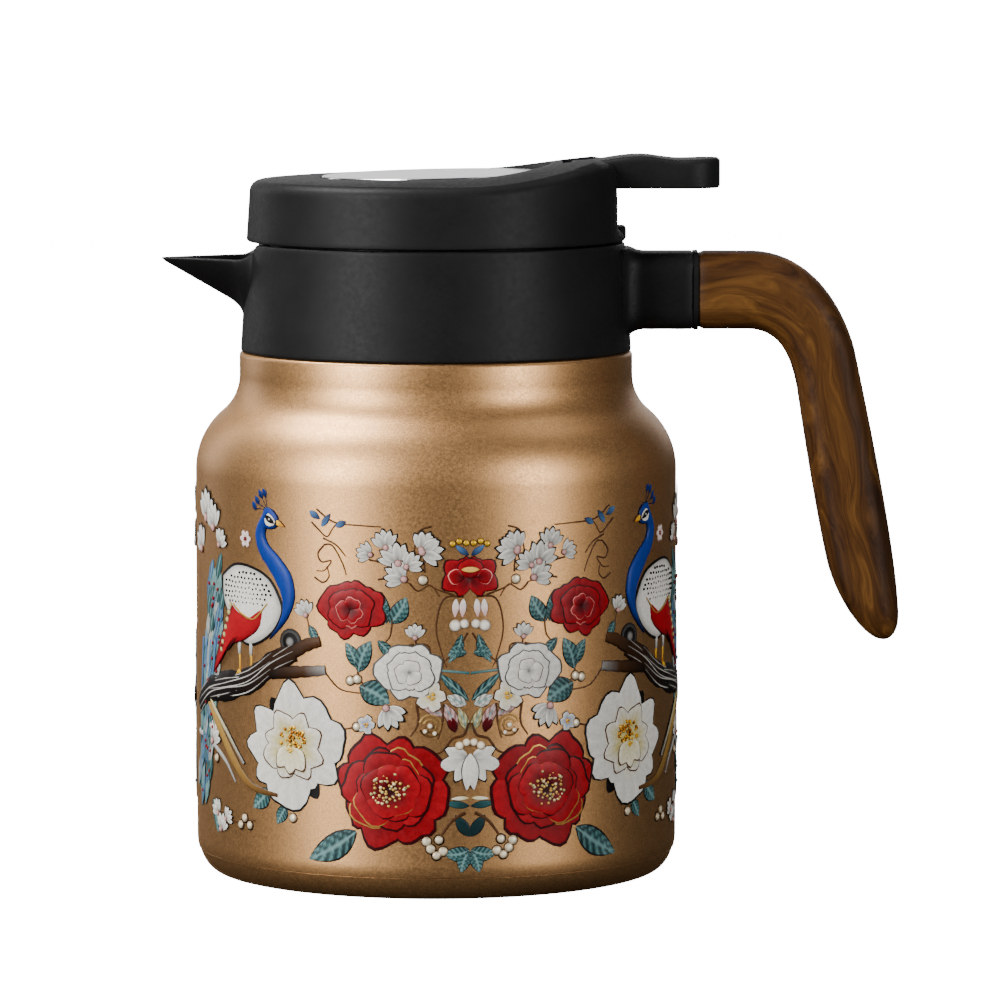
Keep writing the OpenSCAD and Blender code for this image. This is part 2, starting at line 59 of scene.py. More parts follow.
def level(node, end):
    """Lowest (end 0) or highest (end 1) Z of a CAD node, in mm."""
    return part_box(node)[end].z / MM


BODY_H = level("collar", 0)
RIM_Z = level("collar", 1)
LID_LOW = level("lid_cover", 0)
LID_H, SPOUT_DROP, ARM_DROP = 15.4, 3.8, 2.3
LID_TOP = RIM_Z + LID_H
BODY_R, NECK_R = 60.0, 49.0
SHOULDER_R, WAIST_R = 19.0, 11.8
SHOULDER_Z = BODY_H - 29.5
STEEL_T = 0.8
CORNER_W, CORNER_H, SEAM_H = 6.0, 9.0, 6.0
TURN = math.acos((NECK_R + WAIST_R - BODY_R + SHOULDER_R) / (SHOULDER_R + WAIST_R))
WAIST_Z = SHOULDER_Z + (SHOULDER_R + WAIST_R) * math.sin(TURN)
GRIP_W, ARM_H = 21.0, 19.3
ARM_Z = RIM_Z - ARM_DROP - ARM_H / 2
ARM_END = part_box("ferrule")[0].x / MM
GRIP_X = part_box("ferrule")[1].x / MM
TIP_X = -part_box("collar")[0].x / MM
BODY_STEPS = 320
SPOUT_Z = RIM_Z - SPOUT_DROP

# ---- mesh helpers


def face_outwards(mesh):
    bm = bmesh.new()
    bm.from_mesh(mesh)
    bmesh.ops.recalc_face_normals(bm, faces=bm.faces)
    bm.to_mesh(mesh)
    bm.free()


def add_object(name, data):
    """A new object in the scene, made of a mesh, a light or a camera."""
    ob = bpy.data.objects.new(name, data)
    bpy.context.scene.collection.objects.link(ob)
    return ob


def solid_mesh(name, points, faces):
    """A closed mesh from points in mm, with its faces turned outwards."""
    mesh = bpy.data.meshes.new(name)
    mesh.from_pydata((np.asarray(points, float) * MM).tolist(), [], faces)
    face_outwards(mesh)
    return mesh


def piece(name, points, faces, material, body, slot, sharp=35.0):
    """A mesh from points in mm that rides on a body. Edges sharper than the angle stay sharp."""
    mesh = solid_mesh(name, points, faces)
    mesh.shade_smooth()
    if sharp is not None:
        mesh.set_sharp_from_angle(angle=math.radians(sharp))
    mesh.materials.append(material)
    ob = add_object(name, mesh)
    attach(ob, body)
    return ob


def grid_faces(rows, cols, wrap_rows=False, wrap_cols=True):
    """Quads of a grid of points stored row by row."""
    faces = []
    for i in range(rows if wrap_rows else rows - 1):
        for j in range(cols if wrap_cols else cols - 1):
            a, b = i * cols + j, i * cols + (j + 1) % cols
            c, d = ((i + 1) % rows) * cols + (j + 1) % cols, ((i + 1) % rows) * cols + j
            faces.append((a, b, c, d))
    return faces


def turned(profile, steps=256):
    """Points and faces of a closed outline of (radius, z) turned about Z."""
    profile = np.asarray(profile, float)
    angle = np.linspace(0, 2 * np.pi, steps, endpoint=False)
    r, z = profile[:, 0], profile[:, 1]
    points = np.stack([np.outer(np.cos(angle), r), np.outer(np.sin(angle), r), np.tile(z, (steps, 1))],
        -1)
    return points.reshape(-1, 3), grid_faces(steps, len(profile), wrap_rows=True)


def capped_loft(rings):
    """Points and faces of rings that all have the same count, closed at both ends."""
    rings = np.asarray(rings, float)
    rows, cols = rings.shape[:2]
    faces = grid_faces(rows, cols)
    faces += [tuple(range(cols))[::-1], tuple((rows - 1) * cols + j for j in range(cols))]
    return rings.reshape(-1, 3), faces


def arc(centre, rx, ry, a0, a1, n):
    t = np.radians(np.linspace(a0, a1, n))
    return np.stack([centre[0] + rx * np.cos(t), centre[1] + ry * np.sin(t)], -1).tolist()


def bezier(p, t):
    p = np.asarray(p, float)
    return (1 - t) ** 3 * p[0] + 3 * t * (1 - t) ** 2 * p[1] + 3 * t * t * (1
        - t) * p[2] + t ** 3 * p[3]


def smooth_step(x, low, high):
    t = np.clip((x - low) / (high - low), 0, 1)
    return t * t * (3 - 2 * t)


def soft_max(a, b, width):
    """The larger of a and b, rounded off where they are within width of each other."""
    h = np.maximum(width - np.abs(a - b), 0) / width
    return np.maximum(a, b) + h * h * width / 4


def soft_min(a, b, width):
    return -soft_max(-a, -b, width)


# ---- materials


class Nodes:
    """A material's node tree, with short calls for the nodes used here."""

    def __init__(self, name):
        self.material = bpy.data.materials.new(name)
        self.material.use_nodes = True
        self.tree = self.material.node_tree
        self.shader = self.tree.nodes["Principled BSDF"]

    def add(self, kind, **values):
        node = self.tree.nodes.new(kind)
        for key, value in values.items():
            if key in node.bl_rna.properties:
                setattr(node, key, value)
            else:
                node.inputs[key.replace("_", " ")].default_value = value
        return node

    def link(self, source, target):
        self.tree.links.new(source, target)

    def set(self, **values):
        for key, value in values.items():
            self.shader.inputs[key.replace("_", " ")].default_value = value

    def place(self):
        """Where a point is in the row frame, in metres."""
        return self.add("ShaderNodeTexCoord").outputs["Object"]

    def noise(self, scale, detail=2.0, rough=0.5, distort=0.0, at=None):
        node = self.add("ShaderNodeTexNoise", Scale=scale, Detail=detail, Roughness=rough,
            Distortion=distort)
        self.link(at if at is not None else self.place(), node.inputs["Vector"])
        return node.outputs["Fac"]

    def ramp(self, source, stops):
        node = self.add("ShaderNodeValToRGB")
        while len(node.color_ramp.elements) < len(stops):
            node.color_ramp.elements.new(0.5)
        for element, (place, colour) in zip(node.color_ramp.elements, stops):
            element.position = place
            element.color = (*colour, 1) if len(colour) == 3 else colour
        self.link(source, node.inputs["Fac"])
        return node.outputs["Color"]

    def span(self, source, low, high, from_low=0.3, from_high=0.7):
        node = self.add("ShaderNodeMapRange", From_Min=from_low, From_Max=from_high, To_Min=low,
            To_Max=high)
        self.link(source, node.inputs["Value"])
        return node.outputs["Result"]

    def mix(self, fac, a, b, blend="MIX"):
        node = self.add("ShaderNodeMix", data_type="RGBA", blend_type=blend)
        sockets = {"Factor": node.inputs[0], "A": node.inputs[6], "B": node.inputs[7]}
        for name, value in (("Factor", fac), ("A", a), ("B", b)):
            if hasattr(value, "links"):
                self.link(value, sockets[name])
            else:
                sockets[name].default_value = value if name == "Factor" else (*value, 1)
        return node.outputs[2]

    def colour(self, source):
        self.link(source, self.shader.inputs["Base Color"])

    def rough(self, source):
        self.link(source, self.shader.inputs["Roughness"])

    def bump(self, height, distance, strength=1.0):
        """Adds a bump of the given height in metres, on top of any bump before it."""
        node = self.add("ShaderNodeBump", Distance=distance, Strength=strength)
        self.link(height, node.inputs["Height"])
        before = self.shader.inputs["Normal"].links
        if before:
            self.link(before[0].from_socket, node.inputs["Normal"])
        self.link(node.outputs["Normal"], self.shader.inputs["Normal"])


def bronze_paint():
    """Metallic powder paint: fine flakes of differing tone, slightly sandy to the light."""
    n = Nodes("bronze_paint")
    n.set(Metallic=0.96)
    flakes = n.noise(2600, detail=1.0, rough=0.6)
    tone = n.ramp(flakes, [(0.30, (0.405, 0.214, 0.084)), (0.50, (0.485, 0.262, 0.107)),
        (0.68, (0.565, 0.31, 0.13))])
    drift = n.noise(38, detail=3.0)
    n.colour(n.mix(n.span(drift, 0.0, 0.06), tone, (0.38, 0.195, 0.078)))
    n.rough(n.span(n.noise(1500, detail=1.5), 0.38, 0.47))
    n.bump(n.noise(1900, detail=2.0, rough=0.65), 0.00004, 0.45)
    return n.material


def black_plastic(name, shade=0.0062, rough=(0.46, 0.56), grain=1.0):
    """Moulded polypropylene with a fine eroded texture."""
    n = Nodes(name)
    n.set(IOR=1.49, Specular_IOR_Level=0.13)
    blotch = n.noise(60, detail=3.0)
    n.colour(n.ramp(blotch, [(0.35, (shade * 0.8,) * 3), (0.65, (shade * 1.25,) * 3)]))
    n.rough(n.span(n.noise(900, detail=2.0), *rough))
    n.bump(n.noise(2200, detail=2.0, rough=0.6), 0.00003 * grain, 0.6)
    n.bump(n.noise(160, detail=2.0), 0.00006 * grain, 0.25)
    return n.material


def steel(name, shade=0.62, rough=(0.20, 0.34), lines=(30, 30, 2400)):
    """Stainless steel brushed round the axis: long fine scratches of differing gloss."""
    n = Nodes(name)
    n.set(Metallic=1.0)
    stretch = n.add("ShaderNodeMapping", Scale=lines)
    n.link(n.place(), stretch.inputs["Vector"])
    scratch = n.noise(1.0, detail=3.0, rough=0.6, at=stretch.outputs["Vector"])
    n.colour(n.ramp(scratch, [(0.3, (shade * 0.82,) * 3), (0.7, (shade * 1.12,) * 3)]))
    n.rough(n.span(scratch, *rough))
    n.bump(scratch, 0.00001, 0.5)
    return n.material


def disc_steel():
    """The inset plate: bright steel with a turned, concentric finish."""
    n = Nodes("disc_steel")
    n.set(Metallic=1.0)
    centre = n.add("ShaderNodeMapping", Location=(0, 0, -0.17))
    n.link(n.place(), centre.inputs["Vector"])
    rings = n.add("ShaderNodeTexWave", wave_type="RINGS", rings_direction="Z", Scale=420.0,
        Distortion=1.2, Detail=3.0)
    n.link(centre.outputs["Vector"], rings.inputs["Vector"])
    n.colour(n.ramp(rings.outputs["Fac"], [(0.2, (0.70, 0.70, 0.71)), (0.8, (0.84, 0.84, 0.85))]))
    n.rough(n.span(rings.outputs["Fac"], 0.16, 0.26, 0.0, 1.0))
    n.bump(rings.outputs["Fac"], 0.000004, 0.4)
    return n.material


def silicone():
    n = Nodes("silicone")
    n.set(**{"IOR": 1.41, "Subsurface_Weight": 0.35, "Subsurface_Scale": 0.002})
    n.colour(n.ramp(n.noise(120, detail=2.0), [(0.3, (0.66, 0.66, 0.63)), (0.7, (0.76, 0.76, 0.73))]))
    n.rough(n.span(n.noise(400), 0.42, 0.55))
    n.bump(n.noise(900), 0.00002, 0.4)
    return n.material


def walnut():
    """Walnut figure that runs along the grip. The mesh's "grain" says how far along each point is."""
    n = Nodes("walnut")
    along = n.add("ShaderNodeAttribute", attribute_name="grain")
    wide = n.add("ShaderNodeMapping", Scale=(20, 45, 45))
    n.link(along.outputs["Vector"], wide.inputs["Vector"])
    warp = n.noise(1.0, detail=2.0, at=wide.outputs["Vector"])
    fine = n.add("ShaderNodeMapping", Scale=(11, 230, 230))
    n.link(along.outputs["Vector"], fine.inputs["Vector"])
    push = n.add("ShaderNodeVectorMath", operation="MULTIPLY_ADD")
    n.link(warp, push.inputs[0])
    push.inputs[1].default_value = (0.6, 7.5, 7.5)
    n.link(fine.outputs["Vector"], push.inputs[2])
    streak = n.noise(1.0, detail=5.0, rough=0.62, distort=0.7, at=push.outputs[0])
    base = n.ramp(streak, [(0.30, (0.012, 0.0042, 0.0014)), (0.42, (0.038, 0.0140, 0.0036)),
                           (0.56, (0.072, 0.0290, 0.0068)), (0.72, (0.135, 0.0590, 0.0140))])
    pores = n.add("ShaderNodeMapping", Scale=(60, 2200, 2200))
    n.link(along.outputs["Vector"], pores.inputs["Vector"])
    pore = n.noise(1.0, detail=2.0, rough=0.7, at=pores.outputs["Vector"])
    dark = n.span(pore, 0.55, 0.0, 0.30, 0.42)
    n.colour(n.mix(dark, base, (0.020, 0.008, 0.003)))
    n.set(IOR=1.45, Specular_IOR_Level=0.12)
    n.rough(n.span(streak, 0.56, 0.46))
    n.bump(pore, 0.00003, 0.35)
    n.bump(streak, 0.00005, 0.25)
    return n.material


def printed(name, rough=0.42):
    """Raised print: the mesh carries its colour, and how metallic it is in the colour's alpha."""
    n = Nodes(name)
    paint = n.add("ShaderNodeVertexColor", layer_name="paint")
    n.link(paint.outputs["Alpha"], n.shader.inputs["Metallic"])
    speck = n.ramp(n.noise(1400, detail=2.0), [(0.3, (0.80,) * 3), (0.7, (1.0,) * 3)])
    n.colour(n.mix(1.0, paint.outputs["Color"], speck, blend="MULTIPLY"))
    n.set(Specular_IOR_Level=0.12)
    n.rough(n.span(n.noise(700, detail=2.0), rough - 0.07, rough + 0.07))
    n.bump(n.noise(1500, detail=2.0), 0.00003, 0.5)
    return n.material


BRONZE = bronze_paint()
BLACK = black_plastic("black_plastic")
INNER_BLACK = black_plastic("inner_plastic", shade=0.008, rough=(0.34, 0.44), grain=0.5)
STEEL = steel("steel")
SPRING = steel("spring_steel", shade=0.5, rough=(0.25, 0.38), lines=(400, 400, 400))
PLATE = disc_steel()
SILICONE = silicone()
WALNUT = walnut()
ENAMEL = printed("enamel")

# ---- body


def wall_line(inset, z_low, n=28):
    """Outline of the body wall, inset from its outside, from z_low up over the shoulder to the neck."""
    line = [[BODY_R - inset, z] for z in np.linspace(z_low, SHOULDER_Z, 10)[:-1]]
    line += arc((BODY_R - SHOULDER_R, SHOULDER_Z), SHOULDER_R - inset, SHOULDER_R - inset, 0,
        math.degrees(TURN), n)
    line += arc((NECK_R + WAIST_R, WAIST_Z), WAIST_R + inset, WAIST_R + inset, 180 + math.degrees(TURN),
        180, n)[1:]
    return line


def outer_radius(z):
    """Radius of the painted body's outside at height z, for what is printed on it."""
    z = np.asarray(z, float)
    corner = BODY_R - CORNER_W + CORNER_W * np.sqrt(np.clip(1 - ((CORNER_H - z) / CORNER_H) ** 2, 0, 1))
    dome = BODY_R - SHOULDER_R + np.sqrt(np.clip(SHOULDER_R ** 2 - (z - SHOULDER_Z) ** 2, 0, None))
    return np.where(z < CORNER_H, corner, np.where(z > SHOULDER_Z, dome, BODY_R))


def make_shell():
    seam = math.degrees(math.asin((CORNER_H - SEAM_H) / CORNER_H))
    centre = (BODY_R - CORNER_W, CORNER_H)
    lip = [[BODY_R - 1.0, SEAM_H + 0.25], [BODY_R - 0.62, SEAM_H + 0.05]]
    outside = lip + arc(centre, CORNER_W, CORNER_H, -seam, 0, 8) + wall_line(0, CORNER_H + 1)
    outside += [[NECK_R, BODY_H - 1.2], [NECK_R - 0.1, BODY_H - 0.7], [NECK_R - 0.4, BODY_H - 0.3],
        [NECK_R - 0.9, BODY_H - 0.1]]
    neck = level("outer_shell", 1)
    outside += [[NECK_R - 3.7, BODY_H - 0.05], [NECK_R - 3.7, neck]]
    inside = wall_line(STEEL_T, CORNER_H + 1, 8) + [[NECK_R - STEEL_T, BODY_H - 0.9],
        [NECK_R - 4.5, BODY_H - 0.9], [NECK_R - 4.5, neck]]
    shell = piece("body_shell", *turned(outside + inside[::-1], BODY_STEPS), BRONZE, "pot",
        "bronze_paint")
    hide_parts("outer_shell")


def make_base():
    foot_r, step = BODY_R - CORNER_W, 0.25
    seam = math.degrees(math.asin((CORNER_H - SEAM_H) / CORNER_H))
    outline = [[BODY_R - 1.9, 12], [BODY_R - 0.9, 12], [BODY_R - 1.0, 9], [BODY_R - 1.35, SEAM_H],
        [BODY_R - 0.8, SEAM_H - 0.05]]
    outline += arc((foot_r, CORNER_H), CORNER_W - step, CORNER_H, -seam - 2, -90, 18)
    outline += [[foot_r - 3.3, 0], [foot_r - 3.7, 0.2], [foot_r - 4.4, 1.4], [foot_r - 4.9, 1.75],
        [9, 1.75], [8, 1.9]]
    outline += [[7.2, 2.7], [6.6, 2.95], [1.0, 2.95], [1.0, 3.9], [8.6, 3.9], [9.6, 2.75],
        [foot_r - 3, 2.75]]
    outline += arc((foot_r, CORNER_H), CORNER_W - step - 1.2, CORNER_H - 1.2, -75, -seam, 8)
    base = piece("body_base", *turned(outline, BODY_STEPS), BRONZE, "pot", "bronze_paint")
    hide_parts("base_cup")


# ---- collar with its spout and arm

COLLAR_R, COLLAR_TOP_R = 48.7, 47.0
CHAMBER_R, BORE_R = 44.3, 45.5
CHAMBER_Z = level("stopper_gasket", 0)
ARM_ROOT_X = 51  # where the straight part of the arm is measured from
ROOT_X, SPOUT_HALF_W, SPOUT_DEPTH = 44.3, 16.5, 13.9
KEEL_X, KEEL_Z, KEEL_SLOPE = 48.4, 141.2, 0.573


def beak_radius(theta, z, wall):
    """Distance from the axis to the beak's side, at angle theta from the spout and height z."""
    keel = soft_min(KEEL_X + (z - KEEL_Z) / KEEL_SLOPE, TIP_X, 1.5) - 2.1 * wall
    half = SPOUT_HALF_W * np.sqrt(np.clip(1 - ((SPOUT_Z - z) / SPOUT_DEPTH) ** 2, 0.001, 1)) - wall
    side = np.sqrt(np.sin(theta) ** 2 + 0.012 ** 2) - 0.012
    reach = np.maximum(keel - ROOT_X, 0.2)
    radius = keel / (max(math.cos(theta), 0.5) + reach * side / np.maximum(half, 0.3))
    root = np.arctan2(np.maximum(half, 0.3), ROOT_X)
    radius = radius - 25 * smooth_step(abs(theta), 0.7 * root, 1.3 * root)
    return radius if abs(theta) < 0.6 else 0 * radius


def collar_profile(theta):
    """Closed outline of the collar's wall, as (radius, z), at angle theta from the spout."""
    rim = RIM_Z - (RIM_Z - SPOUT_Z) * (1 - smooth_step(abs(theta), math.radians(15.2),
        math.radians(19.6)))
    ring = lambda z: COLLAR_R + (COLLAR_TOP_R - COLLAR_R) * (z - BODY_H) / (RIM_Z - BODY_H)
    outer = lambda z: soft_max(ring(z), beak_radius(theta, z, 0.0), 4.5)
    inner = lambda z: soft_max(np.full_like(z, CHAMBER_R), beak_radius(theta, z, 1.5), 2.0)
    edge = 0.55
    z = np.concatenate([[BODY_H + 0.6], np.linspace(BODY_H + 1.5, rim - edge, 44)])
    line = [[COLLAR_R - 0.9, BODY_H + 0.02], [COLLAR_R - 0.35, BODY_H + 0.1],
        [COLLAR_R - 0.08, BODY_H + 0.3]]
    line += np.stack([outer(z), z], -1).tolist()
    r_out, r_in = float(outer(np.array([rim]))[0]), float(inner(np.array([rim]))[0])
    edge_w = min(edge, (r_out - r_in) * 0.4)
    line += [[r_out - edge_w * (1 - math.cos(a)),
        rim - edge * (1 - math.sin(a))] for a in np.radians([30, 60, 90])]
    line += [[r_in + edge_w * (1 - math.sin(a)), rim - edge * (1 - math.cos(a))] for a in np.radians([0,
        30, 60])]
    z = np.linspace(rim - edge, CHAMBER_Z + 0.5, 14)
    line += np.stack([inner(z), z], -1).tolist()
    r_floor = line[-1][0]
    line += [[CHAMBER_R + (r_floor - CHAMBER_R) * t, CHAMBER_Z + 0.3 * t] for t in (0.9, 0.6, 0.3, 0.0)]
    line += [[BORE_R, CHAMBER_Z - 0.05], [BORE_R, BODY_H + 0.4], [BORE_R + 0.4, BODY_H + 0.02]]
    return line


def make_collar():
    u = np.linspace(-1, 1, 561)[:-1]
    theta = np.pi * np.sign(u) * (0.22 * np.abs(u) + 0.78 * np.abs(u) ** 2.4)
    rows = []
    for t in theta:
        line = np.array(collar_profile(t))
        rows.append(np.stack([-line[:, 0] * math.cos(t), -line[:, 0] * math.sin(t), line[:, 1]], -1))
    rows = np.array(rows)
    points, faces = rows.reshape(-1, 3), grid_faces(len(rows), rows.shape[1], wrap_rows=True)
    arm_points, arm_faces = capped_loft(arm_rings())
    faces = faces + [tuple(i + len(points) for i in f) for f in arm_faces]
    collar = piece("collar_spout", np.vstack([points, arm_points]), faces, BLACK, "pot",
        "black_plastic", sharp=50)
    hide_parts("collar")


def oblong(half_a, half_b, n=48, power=0.42):
    """Points of a rectangle with well rounded corners, as (a, b)."""
    t = 2 * np.pi * np.arange(n) / n
    a, b = np.cos(t), np.sin(t)
    return np.stack([half_a * np.sign(a) * np.abs(a) ** power,
        half_b * np.sign(b) * np.abs(b) ** power], -1)


def arm_rings():
    """The arm's rings, from inside the collar's wall to the ferrule, flared at the wall."""
    flare, end, rings = 4.2, ARM_END - ARM_ROOT_X, []
    for s in np.concatenate([[-1.2], np.linspace(0, flare, 9), [flare + 2, flare + 6],
            [end - 0.5, end]]):
        grow = flare * (1 - math.sqrt(max(1 - (1 - np.clip(s / flare, 0, 1)) ** 2, 0))) * 0.7
        last = 0.35 if s >= end else 0.0
        section = oblong((GRIP_W - 1) / 2 + grow - last, ARM_H / 2 + grow * 0.8 - last)
        near = 1 - smooth_step(s, flare + 1, end - 3)
        wall = np.sqrt(np.clip(COLLAR_R ** 2 - section[:, 0] ** 2, 0, None)) - 0.55
        z = ARM_Z + section[:, 1]
        x = near * (wall + s) + (1 - near) * (ARM_ROOT_X + s)
        rings.append(np.stack([x, section[:, 0], np.minimum(z, RIM_Z - 1.4)], -1))
    return rings


# ---- handle grip


def grip_edges(x, r):
    """Matched curves of the grip's outer and inner edges in side view, from the arm's axis."""
    outer = [[(x, r), (x + 4, r), (x + 8, r), (x + 13, r)],
             [(x + 13, r), (x + 25, r), (x + 34.5, 1), (x + 39, -14)],
             [(x + 39, -14), (x + 42, -28), (x + 50, -65), (x + 50.5, -81)],
             [(x + 50.5, -81), (x + 50.6, -85), (x + 49, -87.5), (x + 46.5, -87.5)]]
    inner = [[(x, -r), (x + 4, -r), (x + 8, -r), (x + 12, -r)],
             [(x + 12, -r), (x + 19, -r), (x + 23, -14), (x + 25, -25)],
             [(x + 25, -25), (x + 26.5, -35), (x + 29.5, -54), (x + 32.5, -67.5)],
             [(x + 32.5, -67.5), (x + 34.5, -76.5), (x + 41, -86.5), (x + 46, -87.5)]]
    return list(zip(outer, inner))


def make_grip():
    rings, grain, run, before = [], [], 0.0, None
    sides, end_part = 56, 3
    for part, (outer, inner) in enumerate(grip_edges(GRIP_X, ARM_H / 2)):
        steps = (8, 34, 40, 30)[part]
        for i in range(0 if part == 0 else 1, steps + 1):
            t = i / steps
            if part == end_part:
                t = math.sin(t * math.pi / 2) * 0.9995
            a, b = bezier(outer, t), bezier(inner, t)
            mid, reach = (a + b) / 2, (a - b) / 2
            half_w = GRIP_W / 2 * (math.sqrt(1 - t * t) if part == end_part else 1.0)
            edge = 0.94 if part == 0 and i == 0 else 1.0
            power = 0.50 + 0.12 * min(1.0, (part + t) / 1.6)
            section = oblong(1.0, 1.0, sides, power)
            x = mid[0] + reach[0] * section[:, 0] * edge
            z = ARM_Z + mid[1] + reach[1] * section[:, 0] * edge
            rings.append(np.stack([x, half_w * section[:, 1] * edge, z], -1))
            run += 0.0 if before is None else float(np.hypot(*(mid - before)))
            before = mid
            size = float(np.hypot(*reach))
            grain.append(np.stack([np.full(sides, run), size * section[:, 0], half_w * section[:, 1]],
                -1))
    rings[0] = rings[0] + np.array([0.12, 0, 0])
    points, faces = capped_loft(rings)
    grip = piece("wood_grip", points, faces, WALNUT, "pot", "walnut", sharp=60)
    layer = grip.data.attributes.new("grain", "FLOAT_VECTOR", "POINT")
    layer.data.foreach_set("vector", (np.array(grain).reshape(-1, 3) * MM).ravel())
    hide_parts("handle_grip")


# ---- lid cover, plate and lever

LID_R = 47.2
PLATE_R, PLATE_Z, PLATE_TILT = 28.4, LID_TOP + 1.6, math.radians(1.2)
REAR_X = 45.1
PIVOT_X, PIVOT_Z = 41.0, RIM_Z + 16.2
LEVER_LOW, LEVER_W = RIM_Z + 13.6, 20.6
LEVER_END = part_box("lever")[1].x / MM


def lid_height(x, r):
    """Height of the lid's top: a low crown round the plate, and a ramp that steepens up to the ears."""
    crown = 1.35 * np.clip((r - PLATE_R - 0.6) / 15.5, 0, 1) ** 1.6
    tilt = math.tan(PLATE_TILT) * x * (1 - smooth_step(r, PLATE_R, LID_R - 3))
    ramp = 4.8 * np.clip((x - 8) / 31, 0, 1) ** 1.8
    return PLATE_Z - 0.25 - crown + tilt + ramp


def lid_profile(phi):
    """Closed outline of the lid cover's wall and top, as (radius, z), at angle phi from the handle."""
    c = math.cos(phi)
    rear = REAR_X / c if c > 0.5 else 99.0

    def wall(z):
        taper = LID_R - 1.0 * (z - LID_LOW) / (LID_TOP - LID_LOW)
        return soft_min(taper, rear + 3.0 * (1 - smooth_step(z, RIM_Z + 2.2, RIM_Z + 3.2)), 0.6)

    round_r = 3.0
    r_edge = float(wall(np.float64(LID_TOP)))
    top = lambda r: lid_height(r * c, r)
    z_edge = float(top(r_edge - round_r)) if c < 0.8 else float(top(r_edge - round_r)) - 0.2
    line = [[LID_R - 1.1, LID_LOW], [LID_R - 0.45, LID_LOW + 0.08], [LID_R - 0.12, LID_LOW + 0.35]]
    line += [[float(wall(z)), z] for z in np.linspace(LID_LOW + 0.8, z_edge - round_r, 20)]
    for a in np.radians(np.linspace(10, 80, 8)):
        line.append([float(wall(z_edge - round_r)) - round_r * (1 - math.cos(a)),
            z_edge - round_r * (1 - math.sin(a))])
    r_top = line[-1][0] - round_r * 0.2
    line += [[r, float(top(r))] for r in np.linspace(r_top, PLATE_R + 0.75, 26)]
    tilt = math.tan(PLATE_TILT) * c
    line += [[PLATE_R + 0.45, float(top(PLATE_R + 0.5)) - 0.1],
        [PLATE_R + 0.3, float(top(PLATE_R)) - 0.4]]
    line += [[PLATE_R + 0.3, PLATE_Z + tilt * PLATE_R - 0.9], [0.6, PLATE_Z - 0.9 + tilt * 0.6]]
    ceiling = LID_TOP - 1.7
    line += [[0.6, ceiling], [39.5, ceiling], [42.0, ceiling - 0.8], [43.4, ceiling - 3],
        [44.4, LID_LOW + 3], [44.8, LID_LOW]]
    return line


def make_lid_cover():
    count = 360
    phis = 2 * np.pi * np.arange(count) / count
    rows = []
    for p in phis:
        line = np.array(lid_profile(p))
        rows.append(np.stack([line[:, 0] * math.cos(p), line[:, 0] * math.sin(p), line[:, 1]], -1))
    rows = np.array(rows)
    cover = piece("lid_top", rows.reshape(-1, 3), grid_faces(count, rows.shape[1], wrap_rows=True),
        BLACK, "lid", "black_plastic", sharp=None)
    half = LEVER_W / 2 + 0.3
    cutter = slot_cutter([(31.5, LEVER_LOW - 9), (31.5, 190), (60, 190), (60, LEVER_LOW - 2),
        (43, LEVER_LOW - 2), (43, LEVER_LOW - 9)], half)
    cut(cover, cutter)
    cover.data.set_sharp_from_angle(angle=math.radians(38))
    tab = [(44.0, RIM_Z + 0.8), (46.9, RIM_Z + 0.8), (47.3, RIM_Z + 1.2), (47.3, RIM_Z + 3.6),
        (46.9, RIM_Z + 4.0), (44.0, RIM_Z + 4.0)]
    prism("lid_tab", tab, 5.0, BLACK, "lid", "black_plastic", bevel=0.35)
    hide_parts("lid_cover")


def prism_mesh(outline, half):
    """Points and faces of an outline of (x, z) made 2 * half thick across Y."""
    n = len(outline)
    points = [(x, s * half, z) for s in (-1, 1) for x, z in outline]
    faces = [(i, (i + 1) % n, n + (i + 1) % n, n + i) for i in range(n)]
    return points, faces + [tuple(range(n))[::-1], tuple(range(n, 2 * n))]


def prism(name, outline, half, material, body, slot, bevel=0.0):
    ob = piece(name, *prism_mesh(outline, half), material, body, slot)
    if bevel:
        modifier = ob.modifiers.new("bevel", "BEVEL")
        modifier.width, modifier.segments, modifier.limit_method = bevel * MM, 3, "ANGLE"
        modifier.angle_limit = math.radians(40)
        apply_modifiers(ob)
        ob.data.shade_smooth()
        ob.data.set_sharp_from_angle(angle=math.radians(50))
    return ob


def slot_cutter(outline, half):
    return add_object("cutter", solid_mesh("cutter", *prism_mesh(outline, half)))


def apply_modifiers(ob):
    bpy.context.view_layer.update()
    done = bpy.data.meshes.new_from_object(ob.evaluated_get(bpy.context.evaluated_depsgraph_get()))
    ob.modifiers.clear()
    ob.data = done


def cut(ob, cutter):
    """Takes the cutter's shape out of ob, and removes the cutter."""
    modifier = ob.modifiers.new("cut", "BOOLEAN")
    modifier.object, modifier.operation, modifier.solver = cutter, "DIFFERENCE", "EXACT"
    apply_modifiers(ob)
    bpy.data.objects.remove(cutter)


def make_plate():
    rim = 0.35
    outline = [[0.0, -0.8], [PLATE_R - 0.2, -0.8], [PLATE_R, -0.6], [PLATE_R, -rim]]
    outline += arc((PLATE_R - rim, -rim), rim, rim, 20, 90,
        5) + [[r, 0.0] for r in (27, 22, 16, 10, 5, 0)]
    outline = [[max(r, 0.02), z] for r, z in outline]
    points, faces = turned(outline, 192)
    c, s = math.cos(PLATE_TILT), math.sin(PLATE_TILT)
    tilted = np.stack([points[:, 0] * c - points[:, 2] * s, points[:, 1],
        PLATE_Z + points[:, 0] * s + points[:, 2] * c], -1)
    plate = piece("lid_plate", tilted, faces, PLATE, "lid", "plate_steel")
    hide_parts("badge_plate")


def wave_height(knots, x):
    """Height at x of a wave that eases from one knot to the next."""
    for (x0, z0), (x1, z1) in zip(knots, knots[1:]):
        if x <= x1:
            break
    t = min(max((x - x0) / (x1 - x0), 0), 1)
    return z0 + (z1 - z0) * (1 - math.cos(math.pi * t)) / 2


